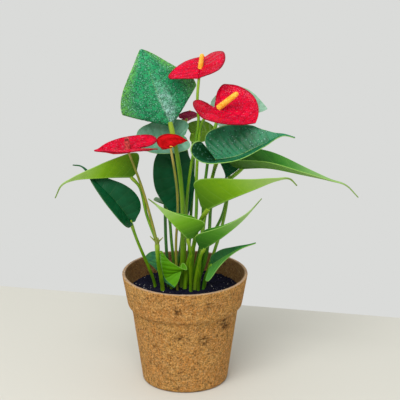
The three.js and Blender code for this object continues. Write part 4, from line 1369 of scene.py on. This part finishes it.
# %% The spadix's tree
dots = add(spadix_tree, "GeometryNodePoints", {"Count": given["Florets"]})[0]
number = add(spadix_tree, "GeometryNodeInputIndex")[0]
step = (number + 0.5) / given["Florets"]
walk = {"Curves": given["Geometry"], "Factor": step}
sample = add(spadix_tree, "GeometryNodeSampleCurve", walk, mode="FACTOR")
turn = {"Vector": sample["Normal"], "Axis": sample["Tangent"], "Angle": number * GOLDEN_ANGLE}
turned = add(spadix_tree, "ShaderNodeVectorRotate", turn)[0]
outward = vector_calc("SCALE", {0: turned, "Scale": spike_radius(step)})[0]
on_skin = vector_calc("ADD", {0: sample["Position"], 1: outward})[0]
placed = add(spadix_tree, "GeometryNodeSetPosition", {"Geometry": dots, "Position": on_skin})[0]
floret = add(spadix_tree, "GeometryNodeMeshUVSphere", {"Segments": 6, "Rings": 4, "Radius": 1.0})[0]
florets = set_on(placed, floret, given["Radius"] * given["Floret Size"])
axis = {"Curve": given["Geometry"], "Count": CORE_STEPS}
core_line = add(spadix_tree, "GeometryNodeResampleCurve", axis)[0]
core_part = add(spadix_tree, "GeometryNodeSplineParameter")["Factor"]
core = tube(core_line, spike_radius(core_part), CORE_SIDES)
spike = made_real(joined(florets, core), given["Skin"], smooth=True)
give(spadix_tree, "Geometry", {"Geometry": spike})

# %% [markdown]
# ## The flowers
# Each flower is a stalk, a spathe and a spadix. The spathe is a blade with its own outlines, set
# on the end of the stalk, and the spadix stands on it. The top flower is seen almost edge-on, the
# right one faces us, and a dark one behind the leaves shows only its back.

# %% Making a flower
STALK_SEAT = 0.12
UNDER_SPATHE = 0.8
SPATHE_MESH = dict(thickness=0.9, rise=0.2, depth=BLISTER_DEPTH)
SPATHE_SHAPE = dict(outline=SPATHE_OUTLINE, vein_bend=0.02, flatten=0, veins=SPATHE_VEINS)
SPIKE_STEPS = np.linspace(0.04, 0.99, 8)


def spadix_piece(name, seat, toward, radius, skin):
    """A spadix that stands at its seat and leans toward a point."""
    line = seat + np.outer(SPIKE_STEPS, np.array(toward, float))
    return grow(curve_object(name, line), spadix_tree, name, radius=radius * MM, skin=skin)


def make_flower(name, node, skins, spathe, spadix, drops=0, stalk_skin=None, stalk=None):
    """The spathe, the spadix and, unless the flower stands on the shoot, the stalk."""
    shape = SPATHE_SHAPE | spathe
    joint = blade_point(shape, STALK_SEAT)
    if stalk:
        up = np.array(shape["up"], float)
        end = np.array(joint) - UNDER_SPATHE * up / np.linalg.norm(up)
        stalk_look = STALK_SKINS[stalk_skin]
        dress(stalk_piece(name + "_stalk", *stalk, end, stalk_look, 0), node + "_stalk")
    piece = blade_piece(name + "_spathe", shape, skins[0], **SPATHE_MESH)
    if drops:
        piece = grow(piece, drops_tree, name + "_spathe", amount=float(drops), water=water)
    dress(piece, node + "_spathe")
    toward, radius, *at = spadix
    seat = np.array(blade_point(shape, *(at or [STALK_SEAT])))
    spike = spadix_piece(name + "_spadix", seat, toward, radius, skins[1])
    dress(spike, node + "_spadix")
    return joint


print("A spathe sits at", STALK_SEAT, "of its midrib")

# %% Flowers with stalks of their own
make_flower(
    "top_flower", "flower_top", (RED_SPATHE, YELLOW_SPADIX), drops=9000, stalk_skin="lime",
    stalk=((-1, 13), [(2, 10, 189), (6, 4, 227), (14, 2, 276), (13, -1, 304)], (1.8, 1.4)),
    spathe=dict(
        midrib=[(14, -4, 325), (17, 16, 334), (21, 30, 338)],
        outlines=[ROUND_OUTLINE, BLUNT_OUTLINE],
        half_width=31, up=(-0.36, -0.3, 0.9), fold=25, cup=-20, crumple=-0.5,
    ),
    spadix=((2, -1, 16), 2.4, 0.46),
)
make_flower(
    "right_flower", "flower_right", (RED_SPATHE, YELLOW_SPADIX), drops=9000, stalk_skin="lime",
    stalk=((6, 3), [(12, 3, 185), (12, 2, 218), (15, 0, 263), (20, -6, 284)], (1.9, 1.5)),
    spathe=dict(
        midrib=[(30, -14, 298), (50, -20, 292), (71, -26, 286)],
        outlines=[BLUNT_OUTLINE, SPATHE_OUTLINE],
        half_width=32, up=(0.1, -0.6, 0.8), folds=(0, 20), cup=15, crumple=0.6,
        lobes=[dict(slope=0.15, angle=90, radius=6), dict(slope=0, angle=40, radius=8)],
    ),
    spadix=((20, -9, 19), 2.9),
)
make_flower(
    "centre_flower", "flower_centre", (DEEP_SPATHE, YELLOW_SPADIX), stalk_skin="brown",
    stalk=((-8, -3), [(-9, -3, 150), (-7, -7, 185), (-8, -12, 215)], (1.5, 1.2)),
    spathe=dict(
        midrib=[(-15, -18, 257), (-5, -18, 261), (3, -16, 264)], half_width=18, up=(0.1, 0.5, 0.85),
        fold=35, crumple=0.7,
    ),
    spadix=((1, 3, 9), 2),
)
make_flower(
    "back_flower", "flower_back", (MAROON_SPATHE, YELLOW_SPADIX), stalk_skin="brown",
    stalk=((-5, 21), [(-3, 31, 150), (-5, 38, 200), (-4, 42, 245)], (1.5, 1.2)),
    spathe=dict(
        midrib=[(1, 43, 270), (8, 44, 272), (15, 44, 272)], half_width=9, up=(0, 0.75, 0.66),
        fold=10,
    ),
    spadix=((1, 8, 4), 1.8, 0.3),
)

# %% [markdown]
# The left flower has no stalk of its own. It is made first, and the shoot then grows up to it.

# %% The flower on the shoot
left_joint = make_flower(
    "left_flower", "flower_left", (RED_SPATHE, RED_SPADIX), drops=9000,
    spathe=dict(
        midrib=[(-53, -41, 263), (-71, -42, 262), (-89, -43, 262)], outline=LONG_LOBED_OUTLINE,
        half_width=24, up=(-0.25, -0.05, 1.0), fold=8, cup=10, crumple=1.3,
    ),
    spadix=((-1, -1, 13), 2.6),
)
make_shoot(tuple(np.array(left_joint) - np.array((0, 0, UNDER_SPATHE))))

# %% [markdown]
# ## The pot
# The pot is pressed from coconut fibre and rubber. Its wall is dull orange-brown, full of dark
# flecks and short fibres that lie flat in it, with a thicker collar round the top. The material
# mixes fine grain, pits and stains of bark. A turned profile then gives the form, and a tree of
# nodes dents it and lays fibres on it.

# %% Coir colour
BARK_STAINS = [
    ((40, -34, 75), 12), ((19, -48, 61), 9), ((-30, -38, 52), 5), ((-7, -60, 98), 7),
    ((25, -56, 103), 6), ((-5, -52, 66), 5), ((7, -60, 105), 5), ((-32, -43, 90), 5),
    ((35, 32, 60), 9), ((-38, 30, 90), 8),
]
RIM_LIGHT_FROM = 0.1158


def dark_spots(tree, place, flecks, standing):
    """Where the fibre is dark: flecks, pits and stains of bark."""
    pits = use(tree, fine_drops, Vector=place, Size=2.8, Amount=0.35)
    dark = smooth_step(flecks["Fine"] * flecks["Broad"], 0.5, 0.8) * 0.6
    dark = greater(dark, pits["Drops"] * 0.8)
    for stain, radius in BARK_STAINS:
        gap = vector_calc("DISTANCE", {0: place, 1: Vector(stain) * MM})["Value"]
        near = smooth_step(gap, radius * MM, 0.3 * radius * MM)
        dark = greater(dark, near * (standing["Broad"] * 0.8 + 0.15))
    return dark


print("The pot has", len(BARK_STAINS), "stains of bark")

# %% Coir material
def coir_material(name):
    """Pressed fibre: straw and rust grain, dark spots, a paler rim top and a darker inside."""
    material, tree, shader = new_material(name, Roughness=0.95, Specular_IOR_Level=0.1)
    place = place_of(tree)
    sizes = (24.0, 5.0, 1.25)
    patches, flecks, grain = (use(tree, mottling, Vector=place, Size=size) for size in sizes)
    lying = use(tree, mottling, Vector=place, Size=2.0, Stretch=(1.0, 1.0, 0.6))
    standing = use(tree, mottling, Vector=place, Size=2.3, Stretch=(0.6, 0.6, 1.0))
    dark = dark_spots(tree, place, flecks, standing)
    pale_rim_top = smooth_step(part_of(place, 2), RIM_LIGHT_FROM, RIM_LIGHT_FROM + MM)
    skin = blend("ffb854", "f8a440", patches["Broad"])
    for colour, where, share in (
        ("ffd488", lying["Broad"], 0.65),  # straw, lying
        ("b4702c", standing["Broad"], 0.55),  # rust, standing
        ("ffe0a0", lying["Fine"], 0.35),  # pale threads
        ("843f10", grain["Broad"], 0.62),  # brown grain
        ("3c2010", dark, 0.95),
        ("e0c4a8", pale_rim_top, 0.65),  # paler on the top of the rim
        ("5a4436", attribute(tree, "inside"), 0.6),  # darker on the inside
    ):
        skin = blend(skin, colour, where * share)
    relief = lying["Fine"] - dark * 0.8 + standing["Fine"] * 0.6
    fill(shader, Base_Color=skin, Normal=bump(relief, 0.8, 1.0))
    return material


coir = coir_material("pressed_coir")
fibre = mottled_material("coir_fibre", "6b4220", "ecc488", 4.0, Roughness=0.85)
print("Pot skins:", coir.name, fibre.name)

# %% Dents in the pot
DENTS_START = 0.0005
DENTS_FULL = 0.004

coir_tree, given = geometry_tree(
    "pressed_fibre",
    [
        ("Dents", "Float", 0.0006),
        ("Fibres", "Float", 60000.0),
        ("Fibre Length", "Float", 0.004),
        ("Fibre Radius", "Float", 0.00014),
        ("Seed", "Int", 3),
        ("Wall", "Material", None),
        ("Fibre", "Material", None),
    ],
)
here = add(coir_tree, "GeometryNodeInputPosition")[0]
height = part_of(here, 2)
lumps = noise(here, 160.0, 4.0, 0.6)[0]
inward = lumps * -1.0 * given["Dents"] * smooth_step(height, DENTS_START, DENTS_FULL)
normal = add(coir_tree, "GeometryNodeInputNormal")[0]
push = vector_calc("SCALE", {0: normal, "Scale": inward})[0]
pushing = {"Geometry": given["Geometry"], "Offset": push}
dented = add(coir_tree, "GeometryNodeSetPosition", pushing)[0]
print("The wall is dented from", DENTS_START, "m up")

# %% Fibres on the pot
FIBRES_FROM = 0.004
FIBRES_TO = 0.1125
STRAND = {"Start": (-0.5, 0, -0.04), "Middle": (0.0, 0.16, 0.02), "End": (0.5, -0.05, -0.04)}

free_wall = (height > FIBRES_FROM) * (height < FIBRES_TO)
lay = scatter(dented, free_wall, given["Seed"], "RANDOM", {"Density": given["Fibres"]})
strand = add(coir_tree, "GeometryNodeCurveQuadraticBezier", {"Resolution": 4, **STRAND})[0]
longer = add(coir_tree, "ShaderNodeCombineXYZ", {k: given["Fibre Length"] for k in range(3)})[0]
strand = add(coir_tree, "GeometryNodeTransform", {"Geometry": strand, "Scale": longer})[0]
ring_size = {"Resolution": 3, "Radius": given["Fibre Radius"]}
strand_ring = add(coir_tree, "GeometryNodeCurvePrimitiveCircle", ring_size)[0]
rods = {"Curve": strand, "Profile Curve": strand_ring}
rod = add(coir_tree, "GeometryNodeCurveToMesh", rods)[0]
spin = {"Rotation": lay["Rotation"], "Rotate By": random_turn((0, 0, 2 * math.pi), given["Seed"])}
laid_over = add(coir_tree, "FunctionNodeRotateRotation", spin, rotation_space="LOCAL")[0]
strands = set_on(lay["Points"], rod, random_size(0.4, 1.5, given["Seed"]), Rotation=laid_over)
whole_pot = joined(made_real(strands, given["Fibre"]), skinned(dented, given["Wall"]))
give(coir_tree, "Geometry", {"Geometry": whole_pot})

# %% [markdown]
# The wall's profile goes from the middle of the base up the outside, over the rim and down the
# inside to the middle of the floor. Between two points of the profile more are added, so the dents
# have enough faces to show on. The soil is turned the same way, so the tools come first.

# %% Turning a profile
ROUND_STEPS = 180


def refine(profile, step):
    """Adds points to a profile so that none lie further apart than a step."""
    fine = [profile[0]]
    for start, end in zip(profile, profile[1:]):
        count = max(1, math.ceil(math.dist(start, end) / step))
        for k in range(1, count + 1):
            fine.append(tuple(np.array(start) + (np.array(end) - np.array(start)) * k / count))
    return fine


def turned_piece(name, profile):
    """A closed solid of revolution from (radius, height) pairs that start and end on the axis."""
    angles = np.arange(ROUND_STEPS) * 2 * math.pi / ROUND_STEPS
    rings = [(r, z) for r, z in profile if r > 0]
    points = [(r * math.cos(a), r * math.sin(a), z) for r, z in rings for a in angles]
    pairs = [(j, (j + 1) % ROUND_STEPS) for j in range(ROUND_STEPS)]
    starts = [ROUND_STEPS * i for i in range(len(rings))]
    faces = [(i + a, i + b, n + b, n + a) for i, n in zip(starts, starts[1:]) for a, b in pairs]
    bottom, top = len(points), len(points) + 1
    points += [(0, 0, profile[0][1]), (0, 0, profile[-1][1])]
    faces += [(b, a, bottom) for a, b in pairs]
    faces += [(starts[-1] + a, starts[-1] + b, top) for a, b in pairs]
    return mesh_object(name, np.array(points) * MM, faces)


print("A turned piece has", ROUND_STEPS, "steps round")

# %% The pot's profile
POT_HEIGHT = 117
RIM_RADIUS = 65
COLLAR_RADIUS = 59.6
COLLAR_END = 85
NECK_HEIGHT = 78.5
NECK_RADIUS = 55.1
BASE_RADIUS = 44.8
BASE_ROUNDING = 4
WALL = 4
POT_FLOOR = 5
RIM_EDGE = [(0, 1.2), (0.35, 0.35), (1.2, 0)]
PROFILE_STEP = 2.5

foot = [
    (BASE_RADIUS - BASE_ROUNDING * (1 - math.sin(a)), BASE_ROUNDING * (1 - math.cos(a)))
    for a in np.radians([15, 30, 45, 60, 75, 90])
]
rise = np.linspace(0, 1, 9)
out = rise**2 * (3 - 2 * rise)
collar_out = NECK_RADIUS + (COLLAR_RADIUS - NECK_RADIUS) * out
collar_up = NECK_HEIGHT + (COLLAR_END - NECK_HEIGHT) * rise
rim = [(RIM_RADIUS - aside, POT_HEIGHT - down) for aside, down in RIM_EDGE]
rim += [(RIM_RADIUS - WALL + aside, POT_HEIGHT - down) for aside, down in reversed(RIM_EDGE)]
pot_profile = [(BASE_RADIUS - BASE_ROUNDING, 0), *foot, *zip(collar_out, collar_up), *rim]
pot_profile += [(COLLAR_RADIUS - WALL, COLLAR_END), (NECK_RADIUS - WALL, NECK_HEIGHT)]
pot_profile += [(BASE_RADIUS - WALL, POT_FLOOR)]
pot_profile = [(0, 0), *refine(pot_profile, PROFILE_STEP), (0, POT_FLOOR)]
print("The profile has", len(pot_profile), "points")

# %% The pot's form
pot_form = turned_piece("coir_pot_form", pot_profile)
top_ring = max(range(len(pot_profile)), key=lambda k: (pot_profile[k][1], -pot_profile[k][0]))
inner_points = np.arange(len(pot_form.data.vertices)) >= top_ring * ROUND_STEPS
inside_mark = pot_form.data.attributes.new("inside", "FLOAT", "POINT")
inside_mark.data.foreach_set("value", inner_points.astype(float))
pot = grow(pot_form, coir_tree, "coir_pot", wall=coir, fibre=fibre)
dress(pot, "pot")

# %% [markdown]
# ## The soil
# The potting mix lies a little below the rim: black, crumbly and damp, with a few white grains.
# Its surface is dented by waves, and a tree scatters crumbs and grains on it.

# %% Soil materials
# The bluish flecks are painted highlights on the damp soil
damp_with_painted_highlights = dict(relief=(0.8, 1.0), flecks="30304c", Roughness=0.8, Specular_IOR_Level=0.12)
peat = mottled_material("damp_soil", "08081a", "121228", 5.0, **damp_with_painted_highlights)
grain = mottled_material("white_grains", "dcdad4", "b8b6b0", 4.0, Roughness=0.85)
print("Soil skins:", peat.name, grain.name)

# %% The soil's tree
SURFACE_FROM = 0.094
FULL_TURN = 6.28
SMALLEST_STONE = 0.4

soil_tree, given = geometry_tree(
    "soil_crumbs",
    [
        ("Crumbs", "Float", 180000.0),
        ("Crumb Size", "Float", 0.0014),
        ("Grains", "Float", 16000.0),
        ("Grain Size", "Float", 0.0006),
        ("Seed", "Int", 5),
        ("Soil", "Material", None),
        ("Grain", "Material", None),
    ],
)
on_top = part_of(add(soil_tree, "GeometryNodeInputPosition")[0], 2) > SURFACE_FROM


def scattered(amount, size, material, seed_step, flatness):
    """Small rough stones scattered over the top of the soil, with a material."""
    seed = given["Seed"] + float(seed_step)
    spots = scatter(given["Geometry"], on_top, seed, "RANDOM", {"Density": amount})
    turn = random_turn((FULL_TURN,) * 3, seed)
    size = random_size(size * SMALLEST_STONE, size, seed)
    stones = set_on(spots["Points"], stone(soil_tree, (1, 0.8, flatness)), size, Rotation=turn)
    return made_real(stones, material)


crumbs = scattered(given["Crumbs"], given["Crumb Size"], given["Soil"], 0, 0.7)
grains = scattered(given["Grains"], given["Grain Size"], given["Grain"], 1, 0.9)
bed = skinned(given["Geometry"], given["Soil"])
give(soil_tree, "Geometry", {"Geometry": joined(crumbs, grains, bed)})

# %% The soil's form
GAP = 0.6
EDGE_GAP = 1.5
CLOD = 1.3
SOIL_BASE = POT_FLOOR + 0.3
SOIL_STEP = 1.6


def inner_radius(z):
    """The pot's inside at a height."""
    heights = (0, NECK_HEIGHT, COLLAR_END, POT_HEIGHT)
    radii = (BASE_RADIUS, NECK_RADIUS, COLLAR_RADIUS, RIM_RADIUS)
    return float(np.interp(z, heights, radii)) - WALL


sides = [(inner_radius(POT_FLOOR) - GAP, SOIL_BASE)]
bends = (NECK_HEIGHT - 1, COLLAR_END + 1, SOIL_TOP - EDGE_GAP)
sides += [(inner_radius(z) - GAP, z) for z in bends]
surface = refine([(inner_radius(SOIL_TOP) - EDGE_GAP, SOIL_TOP), (1, SOIL_TOP)], SOIL_STEP)
soil_form = turned_piece("soil_form", [(0, SOIL_BASE), *sides, *surface, (0, SOIL_TOP)])
co = np.zeros(len(soil_form.data.vertices) * 3)
soil_form.data.vertices.foreach_get("co", co)
co = co.reshape(-1, 3)
lying = np.isclose(co[:, 2], SOIL_TOP * MM)
x, y = co[lying, 0] / MM, co[lying, 1] / MM
waves = np.sin(x * 0.31 + 1) * np.cos(y * 0.27) + 0.6 * np.sin(x * 0.9 - y * 0.7)
waves += 0.4 * np.sin(y * 1.7 + x * 0.4)
co[lying, 2] += waves / 2 * CLOD * MM
soil_form.data.vertices.foreach_set("co", co.ravel())
soil = grow(soil_form, soil_tree, "potting_soil", soil=peat, grain=grain)
dress(soil, "soil")
